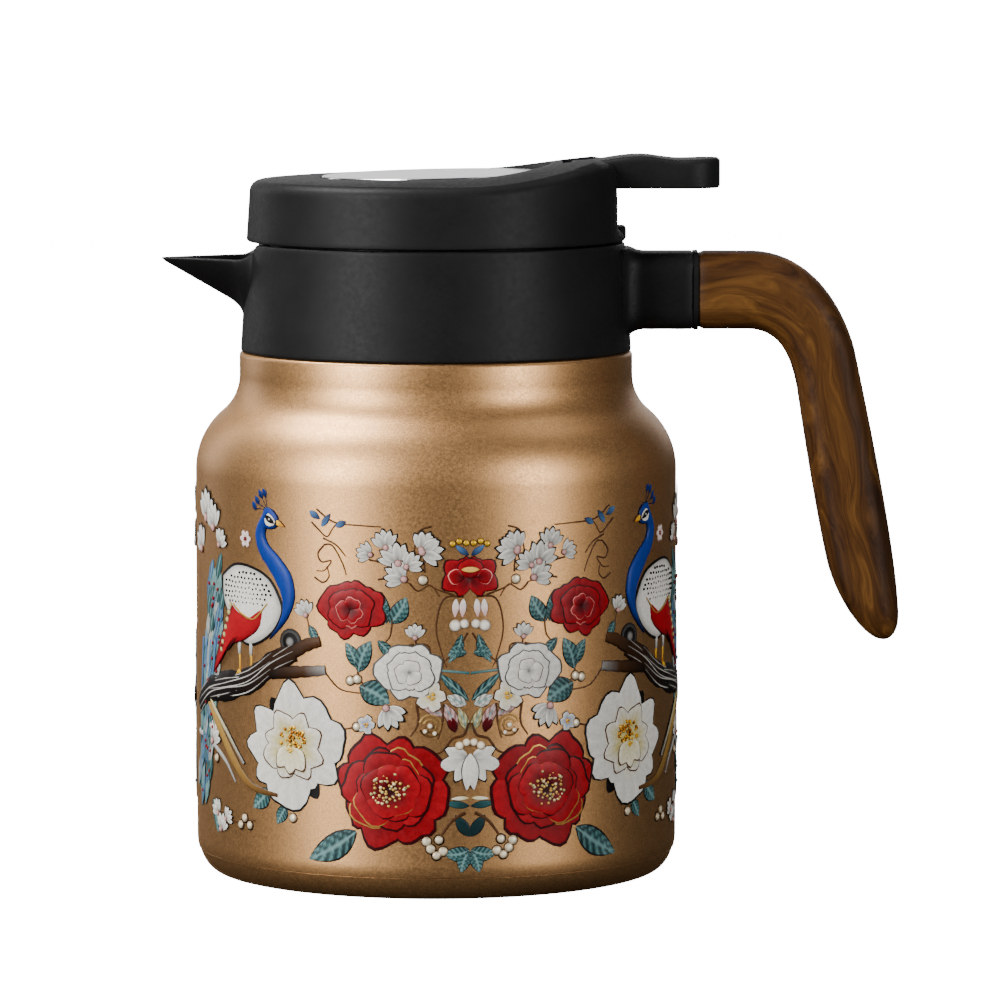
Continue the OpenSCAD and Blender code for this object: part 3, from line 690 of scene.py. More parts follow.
def make_lever():
    """The thumb pad, lofted along X with rounded edges, and its inner arm and fork."""
    knots = [(33.9, LID_TOP + 4.5), (50.8, LID_TOP + 6.25), (60.7, LID_TOP + 5.3),
        (LEVER_END, LID_TOP + 5.6)]
    end_r, edge, first = 8.5, 1.5, 33.9
    rings = []
    u = np.linspace(0, 1, 60)
    xs = first + (LEVER_END - first) * (u * 0.55 + 0.45 * np.sin(u * math.pi / 2))
    for i, x in enumerate(xs):
        past = max(x - (LEVER_END - end_r), 0) / end_r
        half_w = LEVER_W / 2 - end_r * (1 - math.sqrt(max(1 - past ** 2, 0.0)))
        close = 1.0 - 0.5 * max(1 - (x - first) / 1.2, 0) ** 2
        tip = max(1 - (LEVER_END - x) / 0.9, 0)
        top = wave_height(knots, x) - 0.5 * tip ** 2
        low = LEVER_LOW + 0.5 * tip ** 2 + (wave_height(knots,
            x) - 1.2 - LEVER_LOW) * (1 - smooth_step(x, 34.0, 43.5))
        rings.append(pad_ring(x, half_w * close, low, top, edge))
    points, faces = capped_loft(rings)
    fork_z = RIM_Z + 3.2
    arm = [(PIVOT_X - 4, PIVOT_Z + 1), (30, fork_z + 4), (22, fork_z + 2), (7.5, fork_z + 2),
        (7.5, fork_z), (28, fork_z), (36, fork_z + 1.5), (PIVOT_X + 2, PIVOT_Z - 3.4)]
    hub = arc((PIVOT_X, PIVOT_Z), 3.6, 3.6, -60, 190, 16)
    prong = [(8, fork_z), (8, fork_z + 2), (0.9, fork_z + 2), (0.5, fork_z + 2.6), (-0.5, fork_z + 2.6),
        (-0.9, fork_z + 2), (-5.5, fork_z + 2), (-5.5, fork_z)]
    parts = [prism_mesh(arm + hub, 8.0)]
    for s in (-1, 1):
        p, f = prism_mesh(prong, 1.6)
        parts.append(([(x, y + s * 4.8, z) for x, y, z in p], f))
    for p, f in parts:
        faces = faces + [tuple(i + len(points) for i in face) for face in f]
        points = np.vstack([points, np.array(p)])
    lever = piece("thumb_lever", points, faces, BLACK, "lever", "black_plastic", sharp=50)
    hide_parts("lever")


def make_spring():
    """The valve's coil, made at one fixed length. The real one shortens towards the deck as the valve
    rises.
    """
    low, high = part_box("valve_spring")
    wire, turns, lift = 0.45, 7, 5.2
    mean_r = high.x / MM - wire
    start, rise = low.z / MM + wire, (high.z - low.z) / MM - 2 * wire
    rings = []
    for t in np.linspace(0, 1, 28 * turns + 1):
        a = 2 * math.pi * turns * t
        section = [(mean_r + wire * math.cos(b), wire * math.sin(b)) for b in np.linspace(0,
            2 * math.pi, 10, endpoint=False)]
        rings.append([(r * math.cos(a), r * math.sin(a), start + rise * t + z) for r, z in section])
    points, faces = capped_loft(rings)
    coil = piece("valve_coil", points, faces, SPRING, "lid", "spring_steel", sharp=None)
    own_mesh(coil)
    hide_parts("valve_spring")


def pad_ring(x, half_w, low, top, edge):
    """A ring of the thumb pad: flat sides, with the upper edges rounded more than the lower."""
    height = max(top - low, 0.6)
    upper, lower = min(edge, height * 0.45, half_w * 0.6), min(0.6, height * 0.3, half_w * 0.4)
    ring = []
    for s, (r, z, a0, a1) in ((1, (upper, top, 0, 90)), (-1, (upper, top, 90, 0)),
            (-1, (lower, low, 0, -90)), (1, (lower, low, -90, 0))):
        centre_z = top - upper if z == top else low + lower
        for a in np.radians(np.linspace(a0, a1, 7)):
            ring.append((x, s * (half_w - r + r * math.cos(a)), centre_z + r * math.sin(a)))
    return ring


# ---- print on the body

PRINT_TURN = math.radians(8.4)
COPIES = (0.0, math.pi)
SUNK = 0.12  # how far the print's edges reach below the body's surface
PAINT_T = 0.05  # least height of the print above it


def tint(text):
    """Linear colour from a six-digit sRGB hex."""
    c = np.array([int(text[i:i + 2], 16) for i in (0, 2, 4)]) / 255
    return np.where(c < 0.04045, c / 12.92, ((c + 0.055) / 1.055) ** 2.4)


PEARL_EDGE = tint("8a6d48")
RED, DEEP_RED, DARK_RED = tint("8f0d18"), tint("5c0810"), tint("2c0407")
WHITE, CREAM, GREY = tint("d9d5cc"), tint("bdb078"), tint("7d7a76")
BLUE, SKY, NAVY = tint("102c76"), tint("4a6f9c"), tint("0d1332")
TEAL, PALE_TEAL, DARK_TEAL = tint("2c5455"), tint("769c9a"), tint("0f2224")
INK, BROWN, GOLD = tint("0e0b0a"), tint("4a2e18"), tint("dba954")
YELLOW, ORANGE, BLUSH = tint("e3b32a"), tint("b86f16"), tint("c99a96")


class Print:
    """One family of the print, in mm across from the mirror line and up, drawn on both its sides."""

    def __init__(self, name):
        self.name, self.points, self.paints, self.faces, self.count = name, [], [], [], 0

    def add(self, u, v, h, colour, gold=0.0, disc=False):
        """A closed plate from rows and columns of position, raise and colour.

        In a disc, the rows are rings from the middle out.
        """
        rows, cols = u.shape
        top = np.stack([u, v, h], -1)
        shade = np.concatenate([colour, np.broadcast_to(gold, (rows, cols))[..., None]], -1)
        low = top[-1] if disc else np.vstack([top[:, 0], top[:, -1]])
        low_shade = shade[-1] if disc else np.vstack([shade[:, 0], shade[:, -1]])
        low = low * (1, 1, 0) - (0, 0, SUNK)
        n = rows * cols
        faces = grid_faces(rows, cols, wrap_cols=disc)
        if disc:
            faces += [(n - cols + j, n - cols + (j + 1) % cols, n + (j + 1) % cols,
                n + j) for j in range(cols)]
            faces += [tuple(range(cols)), tuple(range(n, n + cols))]
        else:
            for i in range(rows - 1):
                left, right = n + i, n + rows + i
                faces += [(left, left + 1, right + 1, right),
                    (i * cols, (i + 1) * cols, left + 1, left),
                    ((i + 1) * cols - 1, (i + 2) * cols - 1, right + 1, right)]
            faces += [tuple(range(cols)) + (n + rows, n), tuple(range(n - cols, n)) + (n + 2 * rows - 1,
                n + rows - 1)]
        for side in (-1, 1):
            self.points.append(np.vstack([top.reshape(-1, 3), low]) * (side, 1, 1))
            self.paints.append(np.vstack([shade.reshape(-1, 4), low_shade]))
            self.faces += [tuple(k + self.count for k in f) for f in faces]
            self.count += len(self.points[-1])

    def build(self):
        flat, paint = np.vstack(self.points), np.vstack(self.paints)
        sheets, faces = [], []
        for k, turn_by in enumerate(COPIES):
            angle = -math.pi / 2 + PRINT_TURN + turn_by + flat[:, 0] / BODY_R
            r = outer_radius(flat[:, 1]) + flat[:, 2]
            sheets.append(np.stack([r * np.cos(angle), r * np.sin(angle), flat[:, 1]], -1))
            faces += [tuple(i + k * len(flat) for i in f) for f in self.faces]
        mesh = solid_mesh(self.name, np.vstack(sheets), faces)
        mesh.shade_smooth()
        mesh.set_sharp_from_angle(angle=math.radians(60))
        layer = mesh.attributes.new("paint", "FLOAT_COLOR", "POINT")
        layer.data.foreach_set("color", np.vstack([paint] * len(COPIES)).ravel())
        mesh.materials.append(ENAMEL)
        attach(add_object(self.name, mesh), "pot")


def blend(stops, t):
    """Colour at t between (place, colour) stops."""
    places = [p for p, _ in stops]
    return np.stack([np.interp(t, places, [c[i] for _, c in stops]) for i in range(3)], -1)


def plain(colour):
    """Stops of one even colour."""
    return [(0, colour), (1, colour)]


def fade(first, last):
    """Stops from one colour to another."""
    return [(0, first), (1, last)]


def petal(sheet, at, angle, length, spread, stops, line, gold=0.0, wave=0.04, notch=0.0, point=0.0,
        lift=0.22, base=0.0, rim=0.06):
    """A rounded petal with a thin outline. Its edge may be wavy, notched or pointed."""
    t = np.array([0.05, 0.3, 0.5, 0.68, 0.82, 0.99 - rim, 1 - rim, 1.0])[:, None]
    s = np.linspace(-1, 1, 17 if length > 6 else 11)[None, :]
    turn_by = math.radians(142) * s
    reach = 1 - notch * np.exp(-(s / 0.12) ** 2) + point * np.clip(1 - 3 * np.abs(s), 0, 1) ** 1.5
    reach = length * t * (reach + wave * np.sin(s * 9.3 + angle * 0.7 + at[0]) * (1 - s ** 4))
    ahead = reach * (0.53 + 0.47 * np.cos(turn_by))
    aside = reach * 0.6 * math.tan(math.radians(spread)) * np.sin(turn_by)
    a = math.radians(angle)
    u = at[0] + ahead * math.cos(a) - aside * math.sin(a)
    v = at[1] + ahead * math.sin(a) + aside * math.cos(a)
    on_edge = np.broadcast_to(t > 0.995 - rim, u.shape)
    streak = 1 - 0.16 * (0.5 + 0.5 * np.cos(s * 25)) * t
    fill = blend(stops, np.broadcast_to(t, u.shape)) * streak[..., None]
    colour = np.where(on_edge[..., None], line, fill)
    h = base + PAINT_T + lift * (1 - s ** 4) * (0.3 + 0.7 * np.sin(np.pi * t * 0.62)) * (1 - 0.55
        * t ** 8)
    sheet.add(u, v, h, colour, np.where(on_edge, gold, 0.0))


def blade(sheet, start, end, width, stops, line, bend=0.0, veins=0, gold=0.0, lift=0.16, belly=0.45,
        base=0.0, rows=13):
    """A leaf or feather from start to end, widest at belly, with a midrib and slanting veins."""
    rim = 0.12
    start, end = np.array(start, float), np.array(end, float)
    t = np.linspace(0, 1, rows)[:, None]
    side = np.array([0, 0.25, 0.6, 0.97 - rim, 1 - rim, 1])
    s = np.concatenate([-side[:0:-1], side])[None, :]
    along = end - start
    normal = np.array([-along[1], along[0]]) / np.hypot(*along)
    power = math.log(0.5) / math.log(belly)
    half = width / 2 * np.sin(np.pi * np.clip(t, 0.015, 0.985) ** power) ** 0.8
    arch = bend * np.sin(np.pi * t)
    u = start[0] + along[0] * t + normal[0] * (half * s + arch)
    v = start[1] + along[1] * t + normal[1] * (half * s + arch)
    colour = blend(stops, np.broadcast_to(t, u.shape))
    if veins:
        rib = 0.5 + 0.5 * np.cos(2 * np.pi * (t * veins - np.abs(s) * 1.1))
        colour = colour * (0.25 + 0.75 * rib)[..., None] + 0.45 * (rib ** 6)[..., None] * PALE_TEAL
        colour = np.where((np.abs(s) < 0.1)[..., None], PALE_TEAL * 0.8, colour)
    on_edge = np.broadcast_to(np.abs(s) > 0.995 - rim, u.shape)
    colour = np.where(on_edge[..., None], line, colour)
    h = base + PAINT_T + lift * (1 - s ** 4) * np.sin(np.pi * np.clip(t, 0.05,
        0.95)) - 0.04 * (np.abs(s) < 0.1)
    sheet.add(u, v, h, colour, np.where(on_edge, gold, 0.0))


def dot(sheet, at, r, inner, outer, base=0.15, gold=0.0, sides=8, tall=0.6):
    """A bead: a low dome with a paler crown."""
    a = 2 * np.pi * np.arange(sides) / sides
    t = np.array([0.04, 0.5, 0.82, 1.0])[:, None]
    u, v = at[0] + r * t * np.cos(a)[None], at[1] + r * t * np.sin(a)[None]
    h = np.broadcast_to(base + tall * min(r, 0.7) * np.sqrt(1.0 - 0.96 * t * t), u.shape)
    colour = blend([(0, inner), (0.55, inner * 0.85), (1, outer)], np.broadcast_to(t, u.shape))
    sheet.add(u, v, h, colour, gold, disc=True)


def path(points, n):
    """Points at even steps along a smooth line through the given ones."""
    p = np.array([points[0]] + list(points) + [points[-1]], float)
    out = []
    for i in range(len(points) - 1):
        a, b, c, d = p[i:i + 4]
        for t in np.linspace(0, 1, n, endpoint=i == len(points) - 2):
            out.append(0.5 * (2 * b + (c - a) * t + (2 * a - 5 * b + 4 * c - d) * t * t + (3 * b - a - 3
                * c + d) * t ** 3))
    return np.array(out)


def stroke(sheet, points, widths, stops, line=None, n=8, lift=0.22, base=0.0, across=None, bark=0.0,
        gold=0.0):
    """A line of changing width through the points: a twig, a neck or a branch."""
    centre = path(points, n)
    tangent = np.gradient(centre, axis=0)
    tangent /= np.maximum(np.hypot(*tangent.T)[:, None], 1e-6)
    normal = np.stack([-tangent[:, 1], tangent[:, 0]], -1)
    t = np.linspace(0, 1, len(centre))
    s = np.array([-1, -0.8, -0.35, 0.35, 0.8, 1.0] if across is None else across)[None, :]
    half = np.interp(t, np.linspace(0, 1, len(widths)), widths)[:, None] / 2
    if bark:
        half = half * (1 + bark * np.sin(t * 31 + 1)[:, None] * 0.6 + bark * np.sin(t * 57)[:,
            None] * 0.4)
    u, v = centre[:, :1] + normal[:, :1] * half * s, centre[:, 1:] + normal[:, 1:] * half * s
    colour = blend(stops, np.broadcast_to(t[:, None], u.shape))
    if line is not None:
        colour = np.where((np.abs(s) > 0.9)[..., None], line, colour)
    h = base + PAINT_T + lift * np.sqrt(np.clip(1 - s ** 2, 0, 1)) * np.minimum(half * 1.5, 1)
    sheet.add(u, v, h + 0 * u, colour, gold)


def blob(sheet, outline, stops, line, lift=0.35, base=0.0, centre=None):
    """A filled shape inside a smooth closed line, domed towards its centre."""
    steps, edge = 6, 0.94
    ring = path(list(outline) + [outline[0]], steps)[:-1]
    middle = ring.mean(0) if centre is None else np.array(centre, float)
    t = np.array([0.02, 0.3, 0.55, 0.78, edge - 0.01, edge, 1.0])[:, None]
    u = middle[0] + (ring[:, 0] - middle[0])[None] * t
    v = middle[1] + (ring[:, 1] - middle[1])[None] * t
    colour = blend(stops, np.broadcast_to(t, u.shape))
    on_edge = np.broadcast_to(t > edge - 0.005, u.shape)
    colour = np.where(on_edge[..., None], line, colour)
    h = base + PAINT_T + lift * (1 - t ** 3) + 0 * u
    sheet.add(u, v, h, colour, disc=True)


# Flowers and leaves


def stamens(sheet, at, r, count, rng, colours, size=0.32, base=0.45):
    for _ in range(count):
        a, d = rng.uniform(0, 2 * math.pi), r * math.sqrt(rng.uniform(0, 1))
        inner, outer = colours[rng.randrange(len(colours))]
        dot(sheet, (at[0] + d * math.cos(a), at[1] + d * math.sin(a) * 0.9),
            size * rng.uniform(0.7, 1.25), inner, outer, base=base + rng.uniform(0, 0.12), gold=0.5,
            sides=6)


def shadow(sheet, at, r, count, turn_by, spread):
    """Dark ink under a flower, a little down and to the side."""
    for i in range(count):
        petal(sheet, (at[0] + 0.2, at[1] - 0.6), turn_by + 360 / count * i, r, spread, plain(INK), INK,
            lift=0.03)


def peony(sheet, at, r, turn_by, rng):
    """A full red flower: four rings of broad petals with gold edges, round a boss of gold stamens."""
    red = [(0, DARK_RED * 0.6), (0.4, DEEP_RED * 0.8), (0.8, RED), (1, RED * 1.15)]
    rings = ((1.0, 8, 33, 0.25), (0.82, 7, 38, 0.32), (0.66, 6, 42, 0.36), (0.50, 5, 46, 0.38))
    for ring, (reach, count, spread, lift) in enumerate(rings):
        for i in range(count):
            angle = turn_by + 360 / count * (i + 0.5 * (ring % 2)) + rng.uniform(-7, 7)
            squash = 1 - 0.08 * abs(math.sin(math.radians(angle)))
            shade = rng.uniform(0.72, 1.12)
            gilt = ring and i % 3 == 1
            petal(sheet, at, angle, r * reach * squash * rng.uniform(0.86, 1.06), spread,
                [(p, c * shade) for p, c in red], GOLD * 0.6 if gilt else DARK_RED,
                gold=0.6 if gilt else 0.0, notch=0.06 if i % 2 else 0.0, wave=0.04, lift=lift,
                base=0.12 * ring, rim=0.03 if gilt else 0.05)
    blob(sheet, [(at[0] + r * 0.30 * math.cos(a),
        at[1] + r * 0.28 * math.sin(a)) for a in np.linspace(0, 5.7, 9)],
        fade(DARK_RED, DARK_RED * 0.6), DARK_RED, lift=0.1, base=0.46)
    stamens(sheet, at, r * 0.30, 64, rng, ((GOLD, BROWN), (CREAM, BROWN),
        (tint("f1d9a8"), tint("7b5630"))), size=r * 0.028, base=0.55)


def lotus(sheet, at, r, rng):
    """An open white flower: pointed outer petals, yellow-throated inner ones and stamens."""
    shadow(sheet, at, r * 0.88, 12, 0, 22)
    white = [(0, CREAM), (0.3, tint("d5cfae")), (0.6, WHITE * 0.92), (1, WHITE)]
    for angle, reach, spread in ((94, 1.02, 30), (150, 0.96, 27), (186, 1.0, 27), (222, 0.95, 30),
            (46, 0.92, 40), (10, 1.0, 34), (-30, 0.94, 31), (-62, 0.80, 25), (-98, 1.06, 37)):
        petal(sheet, at, angle, r * reach, spread, white, INK, point=0.03, wave=0.05, lift=0.3,
            rim=0.03)
    for angle in (120, 66, 165, 20, 205, -24, -60, 250):
        petal(sheet, at, angle, r * rng.uniform(0.54, 0.66), rng.uniform(30, 38),
            [(0, tint("c9b560")), (0.5, CREAM), (1, WHITE)], BROWN, point=0.05, lift=0.3, base=0.22,
            rim=0.04)
    stamens(sheet, (at[0], at[1] + r * 0.12), r * 0.26, 44, rng,
        ((YELLOW, ORANGE), (tint("f0d060"), ORANGE), (ORANGE, BROWN)), size=r * 0.032, base=0.5)
    for angle in (-60, -95, -130):
        petal(sheet, (at[0], at[1] - r * 0.02), angle, r * 0.42, 33, fade(CREAM, tint("e6dfc6")), BROWN,
            point=0.06, lift=0.3, base=0.5)


def rose(sheet, at, r, rng, fill, line, fine_line, gold_centre=False):
    """A smaller flower, wider than it is high: broad outer petals and a whorl inside."""
    rings = ((1.0, (-58, -122, 8, 172, 56, 124), 40, line, 0.0),
        (0.74, (90, 205, -25, 150, 30), 42, line, 0.22), (0.62, (250, 292), 42, fine_line, 0.24),
        (0.44, (70, 190, -50), 48, fine_line, 0.42))
    for reach, angles, spread, edge, base in rings:
        for angle in angles:
            squash = 1 - 0.22 * abs(math.sin(math.radians(angle)))
            petal(sheet, (at[0], at[1] + r * 0.06), angle + rng.uniform(-5, 5),
                r * reach * squash * rng.uniform(0.95, 1.05), spread, fill, edge, notch=0.05, wave=0.06,
                lift=0.3, base=base, rim=0.05)
    if gold_centre:
        blade(sheet, (at[0] - r * 0.4, at[1] + r * 0.28), (at[0] + r * 0.4, at[1] + r * 0.28), r * 0.2,
            plain(GOLD), BROWN, base=0.7, gold=0.8, rows=7)


def rosette(sheet, at, r, count, stops, line, rng, heart=(YELLOW, ORANGE), turn_by=0.0):
    """A small open blossom."""
    for i in range(count):
        petal(sheet, at, turn_by + 360 / count * i, r * rng.uniform(0.94, 1.05), 0.46 * 360 / count,
            stops, line, notch=0.06, lift=0.22, rim=0.09)
    for i in range(5):
        a = rng.uniform(0, 6.28)
        dot(sheet, (at[0] + r * 0.16 * math.cos(a), at[1] + r * 0.16 * math.sin(a)), r * 0.07 + 0.08,
            *heart, base=0.3, sides=6)


def magnolia(sheet, at, angle, r, count=5):
    """A half-open blossom seen from the side: narrow petals that spread from a dark cup."""
    stops = [(0, GREY * 0.4), (0.4, WHITE * 0.55), (0.8, WHITE * 0.9), (1, WHITE)]
    for i in range(count):
        k = i - (count - 1) / 2
        petal(sheet, at, angle + k * 25, r * (1 - 0.05 * abs(k)), 21, stops, INK, point=0.08, wave=0.02,
            lift=0.28, base=0.1 * (i % 2), rim=0.09)
    dot(sheet, at, r * 0.16 + 0.15, BLUSH, BROWN, base=0.2)


def leaf(sheet, start, end, width, bend=0.0):
    blade(sheet, start, end, width, [(0, DARK_TEAL * 1.5), (0.5, TEAL), (1, PALE_TEAL * 0.6)], INK,
        bend=bend, veins=6, rows=31)


def twig(sheet, points, w0=0.55, w1=0.25):
    stroke(sheet, points, [w0, w1], fade(BROWN * 0.7, BROWN * 1.2))


def berries(sheet, places, r, rng):
    for at in places:
        dot(sheet, at, r * 1.12, INK, INK, base=0.02, sides=12, tall=0.25)
        dot(sheet, at, r * rng.uniform(0.85, 1.0), tint("efe2c4"), PEARL_EDGE, base=0.12, gold=0.35,
            sides=12)


def bird(body, tail, rng):
    """A crested bird with a blue neck, a speckled white back, a red wing and a long scaled tail."""
    feathers = 78
    for i in range(feathers):
        t = i / (feathers - 1)
        x, y = -74 - 11 * t + rng.uniform(-5.5, 4.2), 77 - 54 * t + rng.uniform(-3.5, 3.5)
        colour = (PALE_TEAL, TEAL, SKY, WHITE * 0.8, tint("7e93a8"))[rng.randrange(5)]
        blade(tail, (x + 1.5, y + 3.5), (x - 1.5, y - 4.5), 3.2, fade(colour, colour * 0.6), DARK_TEAL,
            veins=3, base=0.02 + 0.002 * i, rows=7)
        if i % 3 == 0:
            dot(tail, (x, y - 0.5), 0.55, RED, DARK_RED, base=0.3, sides=6)
    for k in range(4):
        stroke(tail, [(-76 - 3 * k, 60), (-80 - 2.5 * k, 40), (-83 - 2 * k, 22)], [1.2, 0.9, 0.4],
            fade(SKY, TEAL), DARK_TEAL, base=0.1)
    blob(body, [(-72, 77), (-66, 80.2), (-59, 80), (-52.5, 77.5), (-48.6, 72), (-48.4, 68.5),
        (-51.5, 64), (-57, 60.8), (-62, 60.6), (-67, 65), (-71.5, 71)],
        [(0, WHITE), (0.8, WHITE * 0.9), (1, GREY)], INK, lift=0.55, base=0.1)
    for i in range(13):
        for j in range(8):
            x, y = -69.5 + 1.42 * i + 0.5 * (j % 2), 69.6 + 1.22 * j
            if ((x + 61) / 9.2) ** 2 + ((y - 73.8) / 4.7) ** 2 < 1 and (y > 70.6 or x > -58):
                dot(body, (x + rng.uniform(-0.15, 0.15), y + rng.uniform(-0.15, 0.15)), 0.34, INK, INK,
                    base=0.60, sides=6, tall=0.4)
    blob(body, [(-66.5, 70), (-63, 68.6), (-58, 67.6), (-53.4, 70.6), (-53.6, 67.5), (-57, 64),
        (-62, 61.4), (-68, 59.5), (-74, 54), (-76.5, 52.6), (-73, 60), (-69.5, 66)],
        [(0, RED), (0.7, RED * 1.1), (1, DEEP_RED)], DARK_RED, lift=0.3, base=0.45, centre=(-63, 65))
    for k in range(6):
        stroke(body, [(-58 - 1.2 * k, 67.0 - 0.5 * k), (-63 - 1.1 * k, 63.0 - 0.3 * k),
            (-69 - 0.8 * k, 58.4)], [0.3, 0.22], plain(DARK_RED), base=0.66, lift=0.08, n=4)
    for k in range(7):
        dot(body, (-67.2 - 0.75 * k, 69.8 - 1.9 * k), 0.85, CREAM, BROWN, base=0.42, sides=8)
    stroke(body, [(-66, 70.2), (-62, 67.9), (-57.6, 67.2), (-53, 71.2)], [0.5, 0.7, 0.4], plain(GOLD),
        BROWN, base=0.62, gold=0.8)
    stroke(body, [(-53.6, 92.4), (-55.6, 88.5), (-54.4, 84.6), (-50.8, 81), (-47.8, 77.2), (-46.6, 73),
        (-47.4, 69), (-49.6, 65.6), (-52.6, 62.6)], [2.6, 3.3, 3.8, 4.7, 5.2, 4.0, 2.2, 1.0, 0.3],
        [(0, BLUE), (0.5, BLUE * 1.25), (0.8, BLUE), (1, NAVY)], NAVY, lift=0.75, base=0.1,
        across=(-1, -0.9, -0.5, 0, 0.5, 0.9, 1))
    blob(body, [(-55.2, 92), (-53.8, 94.7), (-51.4, 94.3), (-49.6, 92.2), (-50.4, 90), (-53.4, 89.6)],
         fade(BLUE * 1.2, BLUE), NAVY, lift=0.55, base=0.35)
    blob(body, [(-53.6, 92), (-52.4, 93.5), (-50.6, 92.4), (-50, 91), (-51.6, 90.2), (-53.2, 90.6)],
        plain(WHITE), INK, lift=0.1, base=0.85)
    blade(body, (-53.4, 92.8), (-50.2, 91), 1.5, plain(INK), INK, base=0.93, rows=7)
    dot(body, (-51.8, 92), 0.3, WHITE, GREY, base=1.05, sides=8)
    blade(body, (-50.4, 91.6), (-47.6, 90.4), 1.4, fade(YELLOW, ORANGE), BROWN, base=0.5, rows=9,
        belly=0.3)
    for k, (x, y) in enumerate(((-57.2, 96.6), (-56, 98.2), (-54.6, 98.6), (-58.2, 95.2))):
        stroke(body, [(-53.4, 94.2), (x + 0.6, y - 1)], [0.2, 0.25], fade(INK, NAVY), n=4)
        blade(body, (x + 0.9, y - 1.4), (x - 0.4, y + 0.7), 1.5, fade(NAVY, BLUE), NAVY, rows=7)
    for x in (-64, -59.4):
        stroke(body, [(x, 61.6), (x - 0.1, 58)], [1.7, 1.0], fade(WHITE, GREY), INK, n=4)
        stroke(body, [(x, 58.2), (x + 0.1, 53.6)], [0.6, 0.5], fade(YELLOW, ORANGE), n=4)
        for d in (-1.7, 0.2, 2.0):
            stroke(body, [(x, 54), (x + d, 52.2)], [0.5, 0.25], fade(YELLOW, ORANGE), n=4, base=0.3)


def boughs(sheet):
    """The dark bough under the bird, with its stubs, and the split bough beside the white flower."""
    dark = [(0, INK), (0.5, INK * 1.3), (1, BROWN * 0.35)]
    many = np.linspace(-1, 1, 9)
    run = [(-88, 43), (-79, 47.6), (-70, 49.4), (-60, 51.8), (-52, 56.4), (-45, 60)]
    stroke(sheet, run, [4.6, 7.2, 7.6, 6.4, 6.0, 5.0], dark, INK, across=many, bark=0.09, lift=0.6,
        n=12)
    for k in range(7):
        grain = [(x, y + (k - 3) * 0.82 + 0.35 * math.sin(1.7 * i + 2.3 * k)) for i,
            (x, y) in enumerate(run)]
        stroke(sheet, grain[k % 2:5 + k % 2], [0.12, 0.36, 0.16, 0.32, 0.1],
            [(0, GREY), (0.5, WHITE * 0.8), (1, GREY)], base=0.62 - 0.04 * abs(k - 3) ** 1.5, lift=0.12,
            n=8)
    stroke(sheet, [(-49, 58), (-42, 61.6), (-37.4, 63)], [4.4, 3.4, 2.6], fade(INK * 1.5, BROWN), INK,
        across=many, bark=0.08, lift=0.5)
    stroke(sheet, [(-52, 54.5), (-43, 55.2), (-36, 56)], [3.6, 3.0, 2.4],
        [(0, INK), (0.6, BROWN * 0.6), (1, GREY)], INK, across=many, bark=0.08, lift=0.5)
    for r, colour in ((3.3, GREY * 0.5), (2.3, INK * 1.5), (1.3, GREY)):
        dot(sheet, (-46, 62.4), r, colour, INK, base=0.2 + 0.1 * (3.3 - r), sides=14, tall=0.14)
    gold_edge = fade(tint("9c7a3c"), BROWN)
    stroke(sheet, [(-82, 46), (-73, 38), (-64, 29), (-58, 25.4), (-50, 24.4)],
        [2.2, 2.8, 2.6, 2.0, 1.2], gold_edge, INK, across=many, bark=0.07, lift=0.4)
    stroke(sheet, [(-79, 45.5), (-70, 38.6), (-62, 31)], [0.9, 1.2, 0.8], fade(CREAM, GREY), INK,
        base=0.3)
    stroke(sheet, [(-90, 36), (-80, 35), (-71, 31), (-66, 26)], [1.4, 1.6, 1.2, 0.6],
        fade(WHITE * 0.7, GREY), INK, across=many, bark=0.06)


